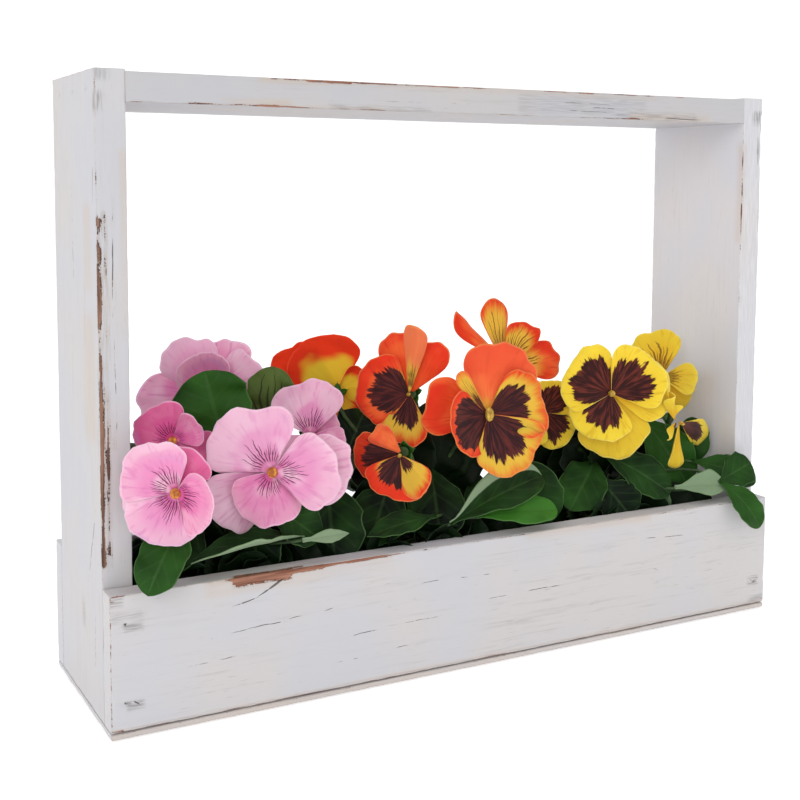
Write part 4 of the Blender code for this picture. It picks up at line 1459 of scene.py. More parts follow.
# Each dyed cloth: its inks, where its rim's colour rises, its blotch and the draw of its ragged
# edge, where the blotch turns maroon, and how strong the painted highlight along its rim is
DYED = {
    "orange": (ORANGE, (0.4, 1.3), ORANGE_BLOTCH, 7.0, (0.4, 0.66), 0.5),
    "yellow": (YELLOW, (0.4, 1.25), YELLOW_BLOTCH, 0.0, (0.42, 0.68), 0.4),
}


def blotch(tree, maps, reach, settings, draw=0.0):
    """Where a blotch with these settings lies. Another draw gives it another ragged edge."""
    feeds = {"Petal": maps["petal"], "Seed": plus(tree, maps["seed"], draw), "Reach": reach}
    return use_group(tree, BLOTCH, {**feeds, **settings})["Blotch"]


def overprinted(tree, maps, cloth, colour, inks, dark, maroon_from, rim_highlight_shown):
    """The dark blotch and the stripes, printed over the dyed cloth, and a painted highlight along the
    rim.
    """
    maroon = between(tree, step_up(tree, cloth["Creases"], *maroon_from), inks["blotch"],
                     inks["maroon"])
    colour = striped(tree, maps, blend(tree, dark, colour, maroon), inks["stripe"])
    # A painted highlight along the rim
    return laid(tree, colour, inks["edge"], step_up(tree, maps["v"], *DYED_RIM_HIGHLIGHT_FROM), rim_highlight_shown)


def dyed_material(name, inks, rim_from, blotched, draw, maroon_from, rim_highlight_shown):
    """Dyed cloth with painted shade in its creases; pale clouds, partly painted sheen, and a golden
    band if it has inks for them.
    """
    made, tree, shader, maps, cloth = petal_start(name + "_cloth")
    far = scaled(tree, cloth["Tone"], DYE_MOVES, maps["v"])
    colour = between(tree, step_up(tree, far, *rim_from), inks["throat"], inks["rim"])
    if "cloud_and_sheen" in inks:
        # Pale clouds: partly paler dye and partly a painted sheen
        clouds_and_sheen = step_up(tree, cloth["Clouds"], *DYED_SHEEN_CLOUDS_FROM)
        colour = laid(tree, colour, inks["cloud_and_sheen"], clouds_and_sheen, 0.6)
    # Painted shade, darker along the cloth's creases
    creases = step_down(tree, cloth["Creases"], *DYED_CREASE_SHADE_TO)
    colour = laid(tree, colour, inks["crease"], creases, 0.5)
    colour = dye_and_painted_light(tree, maps, colour, inks["deepest"], inks["palest"])
    if "golden" in inks:
        golden = blotch(tree, maps, maps["band"], GOLDEN_BAND)
        colour = laid(tree, colour, inks["golden"], golden)
    dark = blotch(tree, maps, maps["reach"], blotched, draw)
    colour = overprinted(tree, maps, cloth, colour, inks, dark, maroon_from, rim_highlight_shown)
    petal_finish(tree, shader, colour, cloth)
    return made


PETAL_MATERIALS = {
    "pink": (PINK_CLOTH, PINK_BACK),
    "orange": (dyed_material("orange", *DYED["orange"]), ORANGE_BACK),
    "yellow": (dyed_material("yellow", *DYED["yellow"]), YELLOW_BACK),
}
print("petal materials:", sorted(PETAL_MATERIALS))

# %% [markdown]
# ## The petals
# A petal is a flat cloth blade, pressed into a soft curve, with a rolled and frilled rim. A grid is
# bent into that shape by a formula: it fans out from the throat, bows towards the viewer and waves
# more the nearer it is to the rim. The formula is the solids' own, with more cells, so a petal stays
# close to its solid. The solids' lobes are plain ones, to save facets. Here many are trimmed: turned,
# made narrower or bent more, as the cloth is cut and crumpled in the real box.

# %% The trim of the lobes
# Per bloom and lobe: degrees turned, parts of its size and width, degrees of more bend, how much
# longer its clockwise side is, and how far that side stands out, in mm
TRIMS = {
    "pink_1": {0: (-14, 1, 0.9, 0, -0.06, 2), 1: (14, 0.92, 1, 12, 0.28, -4),
               2: (-4, 0.98, 0.88, 0, 0, 2), 3: (0, 0.74, 0.9, 0, 0, 3), 4: (-6, 0.94)},
    "pink_2": {0: (-12, 1, 1, 0, 0, 2), 1: (8, 0.96, 0.85, 0, 0, -2), 3: (0, 0.85)},
    "pink_3": {0: (12, 1, 1, 0, 0, 2), 1: (0, 1.1, 0.66), 2: (8, 0.98, 0.58, 0, -0.1),
               3: (-12, 1.02, 0.64), 4: (-4, 0.99, 0.5, 0, 0, -2)},
    "pink_4": {0: (-8, 1, 0.8, 6, -0.05, 4), 1: (2, 0.99, 0.84, 0, 0.06, -4),
               2: (5, 0.88, 0.92, 14, -0.1, 3), 3: (8, 0.93, 0.9, 0, 0, 3),
               4: (-12, 0.97, 0.85, 0, 0, -3)},
    "pink_5": {0: (7, 0.98, 1, 0, 0, 2), 1: (0, 0.75), 3: (0, 0.7)},
    "orange_1": {0: (0, 0.98, 0.95), 2: (0, 0.9), 3: (-14, 1, 0.9, -66)},
    "orange_2": {0: (0, 1, 1, 0, 0, 2), 1: (8, 1, 0.72), 2: (1, 1, 0.72),
                 3: (5, 0.97, 0.6), 4: (-9, 0.93, 0.5)},
    "orange_3": {0: (-1, 0.93, 0.94), 1: (33, 1.16, 0.82, -20, 0, -3), 2: (-6, 0.98, 0.54),
                 3: (2, 1.06, 0.78)},
    "orange_4": {0: (12, 0.98, 0.85, 0, 0.05, 2), 1: (-8, 1, 0.85, 0, -0.04, -2),
                 2: (0, 0.94, 1, 6), 3: (-5, 1.18, 0.72, 0, 0, 4), 4: (4, 1, 0.87),
                 5: (6, 1.04)},
    "orange_5": {2: (0, 0.6)},
    "orange_6": {0: (5, 1, 0.8, 0, 0, 3), 1: (9, 0.97, 0.9, 0, 0, -3), 2: (0, 0.86, 0.95, 0, 0, 3),
                 3: (-14, 1.08, 1.35, 0, 0, 3)},
    "yellow_1": {0: (-9, 1.02), 1: (6,), 2: (8, 1.05, 0.96), 3: (-12, 1, 0.92)},
    "yellow_2": {0: (0, 0.9), 1: (14, 1.06, 0.85)},
    "yellow_3": {1: (8, 1, 0.8, 16)},
    "yellow_4": {0: (-8, 1, 1, 0, 0, 4), 1: (1, 1.55, 0.62, -20, 0, 2), 2: (0, 0.6),
                 3: (-2, 1, 0.42, 0, 0, 4), 4: (0, 0.5)},
}
UNTRIMMED = (0, 1, 1, 0, 0, 0)
# Creases: the place across the lobe where one lies, and how far the cloth beyond it turns back
CREASES = {
    "pink_1": {1: (-0.25, 7)}, "pink_4": {1: (-0.35, 6), 2: (-0.5, 6), 0: (-0.6, 7)},
    "orange_2": {0: (0.5, 5), 2: (0.2, 7)}, "orange_3": {2: (-0.3, 5), 1: (-0.3, 5)},
    "orange_4": {3: (0.1, 6), 2: (-0.3, 4)}, "orange_6": {2: (0.3, 6), 0: (0.1, 5)},
    "yellow_3": {1: (-0.2, 6)}, "yellow_4": {0: (0.1, 5), 1: (0.5, 4), 3: (0.1, 5)},
}
UNCREASED = (1, 0)
Lobe = collections.namedtuple("Lobe", "angle reach spread bend layer skew twist crease tuck")


def trimmed_lobes(name):
    """The lobes of a bloom, each with its trim and its crease."""
    trims, creases = TRIMS.get(name, {}), CREASES.get(name, {})
    made = []
    for i, (angle, reach, spread, bend, layer) in enumerate(BLOOMS[name][4]):
        trim = trims.get(i, ())
        turn, size, width, more, skew, twist = trim + UNTRIMMED[len(trim):]
        made.append(Lobe(angle + turn, reach * size, spread * width, bend + more, layer, skew,
                         twist, *creases.get(i, UNCREASED)))
    return made


print("trimmed lobes:", sum(map(len, TRIMS.values())))

# %% The shape of one petal
PETAL_ROUND = 0.28
NEARLY_STRAIGHT = 1e-6
PETAL_WAVE = 2.3 * MM
PETAL_WAVES = 3.4
PETAL_ARCH = 2.0 * MM
ARCH_MIDDLE = 0.4
FRILL = 3.2 * MM
FRILLS_PER_METRE = 105
RIM_UNEVEN = 0.12
RIM_UNEVEN_PER_TURN = 2.0
RIM_NICKS = 0.06
RIM_NICKS_FINER = 2.7
RIM_ROLL = 1.4 * MM
PLEAT = 2.0 * MM
PLEATS_PER_TURN = 1.9
PLEAT_MIDDLE = 0.3
CRINKLE = 1.4 * MM
CRINKLES_PER_METRE = 60
LAYER_SPREAD = 0.8
PETAL_ACROSS = 40
PETAL_OUT = 20
PETAL_THICK = 0.4 * MM
TUCK_ROLL = 2.6


def bloom_frame(bloom):
    """The bloom's own axes: X to the right of its face, Y up it and Z out of it."""
    _plant, centre, (turn, tilt), _eye, _lobes = bloom
    return (Matrix.Translation(Vector(centre) * MM)
            @ Matrix.Rotation(math.radians(turn), 4, "Z")
            @ Matrix.Rotation(math.radians(90 - tilt), 4, "X"))


def petal_outline(lobe, u, heading):
    """How far the rim reaches at u, as a part of the petal's reach: round, and a little uneven."""
    way = Vector((math.sin(heading), math.cos(heading), lobe.angle)) * RIM_UNEVEN_PER_TURN
    slow = RIM_UNEVEN * noise.noise(way)
    fast = RIM_NICKS * noise.noise(way * RIM_NICKS_FINER)
    outline = max(math.cos(math.pi / 2 * u), 0) ** PETAL_ROUND
    return outline * (1 + lobe.skew * u) * (1 + (slow + fast) * (1 - u * u))


def petal_tuck(lobe, u, far):
    """How far the cloth beyond a lobe's crease turns back, in metres."""
    beyond = u * math.copysign(1, lobe.crease) - abs(lobe.crease)
    return lobe.tuck * MM * math.sin(TUCK_ROLL * max(beyond, 0)) * far


def petal_relief(lobe, u, far, point):
    """How far the cloth stands out of its smooth bow: waves, pleats, frills and a rolled rim."""
    own = Vector((0, 0, lobe.angle))
    wave = PETAL_WAVE * far ** 2 * math.sin(PETAL_WAVES * u + lobe.angle)
    arch = PETAL_ARCH * far * (ARCH_MIDDLE - u * u)
    folds = abs(noise.noise(point.normalized() * PLEATS_PER_TURN + own))
    pleat = PLEAT * far * (PLEAT_MIDDLE - folds)
    frill = FRILL * far ** 4 * noise.noise(point * FRILLS_PER_METRE + own)
    roll = -RIM_ROLL * far ** 8
    crinkle = CRINKLE * far * noise.noise(point * CRINKLES_PER_METRE + own)
    apart = lobe.layer * LAYER_STEP * LAYER_SPREAD * far
    leaning = lobe.twist * MM * u * far
    return wave + arch + pleat + frill + roll + crinkle + apart + leaning - petal_tuck(lobe, u, far)


def petal_point(lobe, u, v):
    """A point of a petal: u runs across it from -1 to 1, v from the throat to the rim."""
    reach = lobe.reach * MM
    heading = math.radians(lobe.angle + lobe.spread * math.sin(math.pi / 2 * u))
    rim = PETAL_ROOT + MM + (reach - PETAL_ROOT - MM) * petal_outline(lobe, u, heading)
    run = PETAL_ROOT + (rim - PETAL_ROOT) * v
    curve = math.radians(lobe.bend) / reach or NEARLY_STRAIGHT
    out = math.sin(curve * run) / curve
    rise = (1 - math.cos(curve * run)) / curve
    point = Vector((out * math.sin(heading), out * math.cos(heading), 0))
    point.z = rise + petal_relief(lobe, u, run / reach, point) + lobe.layer * LAYER_STEP
    return point


rim_point = petal_point(trimmed_lobes("pink_1")[0], 0, 1)
print("a pink rim point:", [round(c / MM, 1) for c in rim_point])

# %% What is printed on each petal
# Per lobe: how far its blotch or veins reach, its yellow band, its stripes, and its tone, partly its
# own dye and partly painted light and shade, from -1, which is the palest, to 1, the deepest
PLAIN = (0, 0, 0, 0)
PRINTS = {
    "pink_1": ((0.62, 0, 0, 0.05), (0.6, 0, 0, 0.3), (0.68, 0, 0, 0), (0, 0, 0, 0.7), PLAIN),
    "pink_2": ((0.62, 0, 0, 0.75), (0.4, 0, 0, 0.45), (0.4, 0, 0, 0.5), (0, 0, 0, 0.7)),
    "pink_3": ((0, 0, 0, 0.2), (0, 0, 0, -0.1), (0, 0, 0, -0.5), (0, 0, 0, 0.05),
               (0, 0, 0, 0.1), (0, 0, 0, 0.6)),
    "pink_4": ((0.58, 0, 0, -0.3), (0.6, 0, 0, -0.1), (0.54, 0, 0, 0.26), (0, 0, 0, -0.1),
               (0, 0, 0, -0.1)),
    "pink_5": ((0.62, 0, 0, -0.1), (0.4, 0, 0, 0.2), (0.4, 0, 0, 0.2), (0, 0, 0, 0.1)),
    "orange_1": (PLAIN, PLAIN, PLAIN, PLAIN),
    "orange_2": ((0.74, 0.5, 0, 0), (0.6, 0.8, 0, 0), (0, 0.42, 0.5, -0.6), PLAIN, PLAIN),
    "orange_3": ((0.66, 0.6, 0, 0), (0.34, 0.86, 0, 0), (0, 0, 0, -0.2), (0.8, 0, 0, 0.3)),
    "orange_4": ((0.72, 0.9, 0, 0), (0.74, 0.92, 0, 0), (0.82, 0.5, 0, 0), (0.4, 0.95, 0.9, 0),
                 (0, 0.2, 0, -0.2), PLAIN),
    "orange_5": ((0.6, 0.8, 0, 0), (0.6, 0.8, 0, 0), (0.6, 0.8, 0, 0)),
    "orange_6": ((0, 0.3, 0.3, 0), (0, 0.8, 0.9, 0), (0, 0.8, 0.95, 0), (0, 0.6, 0.7, 0),
                 PLAIN, PLAIN),
    "yellow_1": ((0.8, 0, 0, 0), (0.76, 0, 0, 0), (0.72, 0, 0, 0), (0, 0, 0, 0.1),
                 (0, 0, 0, 0.35)),
    "yellow_2": ((0.8, 0, 0, 0), (0.8, 0, 0, 0), (0.8, 0, 0, 0), PLAIN),
    "yellow_3": ((0, 0, 0.85, 0.1), (0, 0, 0.7, -0.1), PLAIN, (0, 0, 0, 0.3)),
    "yellow_4": ((0, 0, 0, 0.4), (0.76, 0, 0, 0), (0.3, 0, 0, 0.3), (0, 0, 0, 0.1), PLAIN),
}
PETAL_MAPS = ("petal", "print", "tone", "draw")
DRAW_MOST = 40


def petal_maps(layers, printed, seed):
    """What each map of a petal holds; the petal map is left to follow the grid."""
    reach, band, stripes, dye_and_light = printed
    return dict(zip(layers, (None, (reach, band), (stripes, dye_and_light), (seed, 0.0))))


def lay_grid(shape, across, out, place, maps):
    """A grid of cells laid at place(u, v), with its maps set at every corner."""
    made = bmesh.ops.create_grid(shape, x_segments=across, y_segments=out, size=1)
    spots = {vertex: (vertex.co.x, (vertex.co.y + 1) / 2) for vertex in made["verts"]}
    faces = {face for vertex in made["verts"] for face in vertex.link_faces}
    for face in faces:
        for corner in face.loops:
            u, v = spots[corner.vert]
            for layer, value in maps.items():
                corner[layer].uv = value or ((u + 1) / 2, v)
    for vertex, (u, v) in spots.items():
        vertex.co = place(u, v)
    return faces


def thicken(piece, thick):
    """Gives a sheet its thickness. Its back takes the material after its front's."""
    shell = piece.modifiers.new("Thickness", "SOLIDIFY")
    shell.thickness = thick
    shell.offset = 0
    shell.material_offset = 1


def build_petals(name, bloom, draw):
    shape = bmesh.new()
    layers = [shape.loops.layers.uv.new(layer) for layer in PETAL_MAPS]
    for lobe, printed in zip(trimmed_lobes(name), PRINTS[name]):
        maps = petal_maps(layers, printed, round(draw.uniform(0, DRAW_MOST), 2))
        lay_grid(shape, PETAL_ACROSS, PETAL_OUT,
                 lambda u, v, lobe=lobe: petal_point(lobe, u, v), maps)
    bmesh.ops.transform(shape, matrix=bloom_frame(bloom), verts=shape.verts)
    petals = mesh_piece(name + "_cloth", shape)
    petals.data.shade_smooth()
    thicken(petals, PETAL_THICK)
    fit(petals, name + "_petals", bloom[0] + "_petals", *PETAL_MATERIALS[bloom[0]])
    return petals


draw = random.Random(11)
made = [build_petals(name, bloom, draw) for name, bloom in BLOOMS.items()]
print("blooms:", len(made), "cells:", sum(len(piece.data.polygons) for piece in made))

# %% [markdown]
# ## The eyes
# Each bloom has a small orange-yellow knob in its throat, a sphere with its points pulled in along a
# groove. It hides the petals' inner ends, and a folded petal nearly hides some of the knobs.

# %% The knobs
EYE_RINGS = 14
EYE_SECTORS = 24
EYE_LIFT = 3.4 * MM
EYE_TALL = 2.4 * MM
EYE_UNEVEN = 0.05
EYE_LUMPS = 2.5
EYE_SPOTS = 500
EYE_DARK_FROM = (0.3, 0.62)
GROOVE_DEEP = 0.42
GROOVE_WIDE = 0.28
GROOVE_SHADE = 0.8
EYE_SIZE = {"pink": 0.95, "orange": 0.95, "yellow": 1.05}
# How wide and long some eyes are for their size: one is large, and some are partly hidden
HIDDEN_EYE = (0.55, 0.55)
EYE_SHAPES = {"orange_4": (1.2, 1.9), "orange_2": HIDDEN_EYE, "orange_3": HIDDEN_EYE,
              "orange_6": HIDDEN_EYE, "yellow_3": HIDDEN_EYE, "yellow_4": HIDDEN_EYE}


def eye_material(name, light, dark):
    """A moulded knob between two tones, with painted shade down in its groove."""
    made, tree, shader = new_material(name)
    spots = mottle(tree, object_place(tree), EYE_SPOTS, 3)
    colour = between(tree, step_up(tree, spots, *EYE_DARK_FROM), light, dark)
    # Painted shade down in the groove
    colour = laid(tree, colour, dark, attribute(tree, "groove_shade"), GROOVE_SHADE)
    feed(tree, shader, {"Base Color": colour, "Roughness": 0.5,
                        "Normal": bump(tree, spots, 0.3 * MM, 0.5)})
    return made


def groove_depth(point):
    """How deep the groove over the front of a unit sphere is at a point."""
    return math.exp(-(point.x / GROOVE_WIDE) ** 2) * max(point.z, 0)


def build_eye(name, bloom, material):
    radius = bloom[3] * MM * EYE_SIZE[bloom[0]]
    shape = bmesh.new()
    bmesh.ops.create_uvsphere(shape, u_segments=EYE_SECTORS, v_segments=EYE_RINGS, radius=1)
    groove_shade = shape.verts.layers.float.new("groove_shade")
    for vertex in shape.verts:
        depth = groove_depth(vertex.co)
        vertex[groove_shade] = depth
        uneven = EYE_UNEVEN * noise.noise(vertex.co * EYE_LUMPS)
        vertex.co *= 1 - GROOVE_DEEP * depth + uneven
    wide, long = EYE_SHAPES.get(name, (1, 1))
    size = Matrix.Diagonal((radius * wide, radius * long, EYE_TALL, 1))
    place = bloom_frame(bloom) @ Matrix.Translation((0, 0, EYE_LIFT)) @ size
    bmesh.ops.transform(shape, matrix=place, verts=shape.verts)
    eye = mesh_piece(name + "_knob", shape)
    eye.data.shade_smooth()
    fit(eye, name + "_eye", "bead", material)


AMBER = eye_material("amber_knob", (236, 166, 60), (166, 90, 26))
GOLD = eye_material("gold_knob", (224, 188, 78), (160, 122, 34))
EYES = {"pink": AMBER, "orange": GOLD, "yellow": GOLD}
for name, bloom in BLOOMS.items():
    build_eye(name, bloom, EYES[bloom[0]])
print("eyes:", len(BLOOMS))

# %% [markdown]
# ## Leaf cloth
# The leaves are stiffened cloth, dark green above with a paler midrib and side veins, and pale
# grey-green below. Here u runs across a leaf and v from its stalk to its tip.

# %% Leaf veins, as a node group
VEIN_SLANT = 0.28
MIDRIB_TO = (0.02, 0.09)
SIDE_VEINS_TO = (0.04, 0.16)
VEINS_END = (0.7, 0.95)


def leaf_vein_group():
    """A midrib, and side veins that leave it at a slant."""
    gives = ("Midrib", "Side veins")
    group, inside, outside = new_group("Leaf veins", ("Leaf",), ("Count",), gives)
    u, v, _ = axes(group, inside["Leaf"])
    side = off_middle(group, u)
    slant = times(group, minus(group, v, times(group, side, VEIN_SLANT)), inside["Count"])
    veins = times(group, step_down(group, beside_line(group, slant), *SIDE_VEINS_TO),
                  step_down(group, side, *VEINS_END))
    feed(group, outside, {"Midrib": step_down(group, side, *MIDRIB_TO), "Side veins": veins})
    return group


LEAF_VEINS = leaf_vein_group()
print("leaf vein group:", len(LEAF_VEINS.nodes), "nodes")

# %% The greens of the leaves
PALE_GREEN = (136, 158, 126)
OLIVE_INK = (38, 40, 22)
OLIVE_FAN = {"Seed": 3.0, "Count": 7.0, "Reach": 0.85, "Width": 0.01, "Start": 0.1}
VEIN_RIDGES = 6
SIDE_VEINS = 0.6
SIDE_VEINS_SHOWN = 0.35
LEAF_TONE_MOVES = 0.9
LEAF_WEAVE_SCALE = 1300
CURL_SOFT = (0.0, 0.03)
SIDES_FROM = (0.95, 0.99)
TIP_FROM = (0.982, 0.995)


def pale_mask(tree, pale, u):
    """Where a leaf shows its pale side: all over above 0, and only along one margin below."""
    margin = times(tree, pale, -1.0)
    curled = step_up(tree, minus(tree, margin, u), *CURL_SOFT)
    there = step_up(tree, margin, 0.0, 0.01)
    return maths(tree, "MAXIMUM", pale, times(tree, curled, there))


def leaf_green(tree, tint_and_shade, dark, light):
    """A leaf's green, from dark at a tint of 0 to light at 1, a little mottled; the tint is partly
    painted light and shade.
    """
    tone = mottle(tree, object_place(tree), TONE_SCALE, 2)
    lit = plus(tree, tint_and_shade, centred(tree, tone, LEAF_TONE_MOVES))
    return between(tree, add_node(tree, "Clamp", {0: lit}).outputs[0], dark, light)


def leaf_material(name, dark, light, vein_ink, vein_strength, fan=0.0):
    """Leaf cloth between two greens, with its veins, and a dark fan where it is printed."""
    made, tree, shader = new_material(name)
    leaf = uv(tree, "leaf")
    u, v, _ = axes(tree, leaf)
    tint_and_shade, pale, _ = axes(tree, uv(tree, "draw"))
    veins = use_group(tree, LEAF_VEINS, {"Leaf": leaf, "Count": VEIN_RIDGES})
    colour = leaf_green(tree, tint_and_shade, dark, light)
    colour = laid(tree, colour, PALE_GREEN, pale_mask(tree, pale, u))
    colour = laid(tree, colour, vein_ink, veins["Midrib"], vein_strength)
    colour = laid(tree, colour, vein_ink, veins["Side veins"], vein_strength * SIDE_VEINS_SHOWN)
    if fan:
        dark_fan = use_group(tree, VEINS, {"Petal": leaf, **OLIVE_FAN})["Veins"]
        colour = laid(tree, colour, OLIVE_INK, dark_fan, fan)
    edge = maths(tree, "MAXIMUM", step_up(tree, off_middle(tree, u), *SIDES_FROM),
                 step_up(tree, v, *TIP_FROM))
    colour = laid(tree, colour, vein_ink, edge, 0.5)
    weave = mottle(tree, object_place(tree), LEAF_WEAVE_SCALE, 1)
    grooves = scaled(tree, veins["Side veins"], SIDE_VEINS, veins["Midrib"])
    feed(tree, shader, {"Base Color": colour, "Roughness": 0.5, "Specular IOR Level": 0.12,
                        "Normal": bump(tree, grooves, 0.25 * MM, 0.3,
                                       bump(tree, weave, 0.12 * MM, 0.4))})
    return made


LEAF_TOP = leaf_material("leaf_upper", (4, 22, 6), (58, 114, 36), (96, 132, 78), 0.14)
LEAF_OLIVE = leaf_material("leaf_olive", (30, 44, 16), (92, 112, 52), (110, 130, 80), 0.1, 0.8)
LEAF_BACK = leaf_material("leaf_lower", (84, 108, 80), (134, 156, 122), (150, 168, 132), 0.3)
# A nearly black green, painted shade deep inside the plants
LEAF_INNER_SHADED = leaf_material("leaf_inner_shaded", (4, 14, 4), (18, 40, 14), (34, 58, 30), 0.12)
print("leaf greens:", [made.name for made in (LEAF_TOP, LEAF_OLIVE, LEAF_BACK, LEAF_INNER_SHADED)])

# %% [markdown]
# ## The leaves
# A pansy's leaf is spoon-shaped with a waved margin, folded a little along its midrib. Each one is a
# grid bent by the solids' own formula, with its veins pressed in. Leaves of a nearly black green,
# painted shade deep in the plants, fill them from inside, in rows that a rule places with a seeded
# draw.

# %% The shape of one leaf
LEAF_ACROSS = 14
LEAF_ALONG = 28
LEAF_THICK = 0.5 * MM
VEIN_RIDGE = 0.22 * MM
MIDRIB_WIDE = 0.09
SIDE_VEIN_WIDE = 0.14
MARGIN_RUFFLE = 0.05
SCALLOP_LEFT = 0.4
MARGIN_NOTCH = 0.2
MARGIN_NOTCHES = 4.5
HALVES_APART = 9
STALK_NARROWS = 0.8
CURL_HIGH = 1.1
CURL_POWER = 1.5
# How the outline closes at the tip: the power of the way to it, and of what is left
ROUND_TIP = (2, 0.5)
POINTED_TIP = (1, 0.8)
# Leaves with a curled left margin, by their base, and the part of the leaf that curls
CURLED = {(-16, -46, 82): 0.7, (-104, -44, 86): 0.9, (150, -44, 84): 0.8}
POINTED = ((-110, -50, 86), (150, -44, 84), (-104, -44, 86), (-22, -40, 86))


def leaf_frame(leaf):
    """The leaf's base, length and three directions: along it, across it and out of its face."""
    _plant, base, tip, (turn, tilt), _width, _arch = leaf
    base, tip = Vector(base) * MM, Vector(tip) * MM
    along = (tip - base).normalized()
    turn, tilt = math.radians(turn), math.radians(tilt)
    looks = Vector((math.sin(turn) * math.cos(tilt), -math.cos(turn) * math.cos(tilt),
                    math.sin(tilt)))
    across = along.cross(looks).normalized()
    return base, (tip - base).length, along, across, across.cross(along)


def leaf_half_width(width, v, drift, pointed):
    """Half the width of a spoon-shaped leaf, with its scallops and notches."""
    if v < LEAF_WIDEST:
        outline = math.sin(math.pi / 2 * v / LEAF_WIDEST) ** LEAF_SLIM
    else:
        beyond = (v - LEAF_WIDEST) / (1 - LEAF_WIDEST)
        going, left = POINTED_TIP if pointed else ROUND_TIP
        outline = max(1 - beyond ** going, 0) ** left
    scallop = 1 + SCALLOP_LEFT * LEAF_WAVE * math.cos(2 * math.pi * LEAF_SCALLOPS * v)
    scallop -= MARGIN_NOTCH * abs(noise.noise(Vector((MARGIN_NOTCHES * v, drift, 0.5))))
    return max(width / 2 * MM * outline * scallop, STALK_WIDE * (1 - STALK_NARROWS * v))


def leaf_curl(leaf, half, u):
    """How far a curled margin stands up, on the leaves that have one."""
    reach = CURLED.get(tuple(leaf[1]), 0)
    return CURL_HIGH * half * max(reach - 1 - u, 0) ** CURL_POWER


def vein_ridge(u, v):
    """How deep the midrib and the side veins are pressed into a leaf at a place on it."""
    slant = (v - VEIN_SLANT * abs(u)) * VEIN_RIDGES
    midrib = math.exp(-(u / MIDRIB_WIDE) ** 2)
    side = math.exp(-((slant % 1 - 0.5) / SIDE_VEIN_WIDE) ** 2) * (1 - abs(u))
    return VEIN_RIDGE * (midrib + SIDE_VEINS * side)


def leaf_point(leaf, u, v):
    """A point of a leaf: u runs across it from -1 to 1, v from its base to its tip."""
    base, length, along, across, out = leaf_frame(leaf)
    _plant, _base, _tip, _looks, width, arch = leaf
    v = math.sin(math.pi / 2 * v)
    drift = base.x / MM + math.copysign(HALVES_APART, u)
    half = leaf_half_width(width, v, drift, tuple(leaf[1]) in POINTED)
    swell = arch * MM * 4 * v * (1 - v)
    fold = LEAF_FOLD * half * abs(u)
    wave = LEAF_WAVE * half * abs(u) * math.sin(2 * math.pi * LEAF_SCALLOPS * v + 2 * u)
    ruffle = MARGIN_RUFFLE * half * abs(u) ** 3 * math.sin(4 * math.pi * LEAF_SCALLOPS * v + 3 * u)
    lift = swell + fold + wave + ruffle - vein_ridge(u, v) + leaf_curl(leaf, half, u)
    return base + along * length * v + across * half * u + out * lift


print("first leaf's tip:", [round(c / MM, 1) for c in leaf_point(LEAVES[0], 0, 1)])

# %% How light each leaf is: its own green, and painted light and shade
# In the order of LEAVES: 0 is the darkest green and 1 the lightest. Beside each leaf's own green,
# this paints light and shade: leaves at the back and deep among the plants are darker
LEAF_TINT_AND_SHADE = (
    0.44, 0.66, 0.34, 0.20, 0.50, 0.08, 0.24, 0.10, 0.06, 0.16, 0.16, 0.06, 0.06, 0.06,
    0.04, 0.08, 0.10, 0.14, 0.96, 0.14, 0.24, 0.12, 0.06, 0.06, 0.06, 0.06,
    0.30, 0.00, 0.16, 0.44, 0.40, 0.26, 0.28, 0.46, 0.26, 0.12, 0.06, 0.16, 0.06, 0.06, 0.14, 0.06)
# Leaves that show their pale side, by their number: how pale, or less than 0 for one margin only
LEAF_PALE = {3: -0.45, 4: 0.9, 17: -0.2, 30: 0.85, 35: 0.3}
OLIVE_LEAF = 1
leaf_tones_and_shade = [(light, LEAF_PALE.get(i, 0.0)) for i, light in enumerate(LEAF_TINT_AND_SHADE)]
print("tones:", len(leaf_tones_and_shade), "pale leaves:", len(LEAF_PALE))

# %% Darker leaves inside the plants
# Each row: how many leaves, how far back their tips are, and how high in the middle and at the ends
FILL_ROWS = (
    (28, (-14, 24), 150, 66),
    (12, (24, 42), 100, 78),
    (12, (-46, -34), 82, 72),
)
FILL_SPREAD = 66.0
FILL_ENDS = 194
FILL_APART = 6
# The tips of a row are uneven by a part of how high its middle rises over this height
FILL_UNEVEN = 40 / 90
FILL_EVEN_AT = 60
FILL_LEAST = 64
FILL_BASE = 50
FILL_BASES = (0.45, 0.6)
FILL_TURNS = (-50, 20)
FILL_TILTS = (0, 30)
FILL_WIDTHS = (26, 36)
FILL_ARCHES = (1, 4)
FILL_TINTS = (0.1, 0.7)


def fill_leaves(plant, draw):
    """Leaves that fan out from a plant's crown, in loose rows behind and under the blooms."""
    crown_x, crown_y = CROWNS[plant]
    made = []
    for count, depths, middle_high, end_high in FILL_ROWS:
        for i in range(count):
            swing = -1 + 2 * (i + 0.5) / count
            x = crown_x + FILL_SPREAD * swing + draw.uniform(-FILL_APART, FILL_APART)
            fall = (middle_high - end_high) * swing ** 2
            fall += draw.uniform(0, FILL_UNEVEN * (middle_high - FILL_EVEN_AT))
            tip = Vector((min(max(x, -FILL_ENDS), FILL_ENDS), draw.uniform(*depths),
                          max(middle_high - fall, FILL_LEAST)))
            base = Vector((crown_x, crown_y, FILL_BASE)).lerp(tip, draw.uniform(*FILL_BASES))
            looks = (draw.uniform(*FILL_TURNS), draw.uniform(*FILL_TILTS))
            made.append((plant, base, tip, looks, draw.uniform(*FILL_WIDTHS),
                         draw.uniform(*FILL_ARCHES)))
    return made


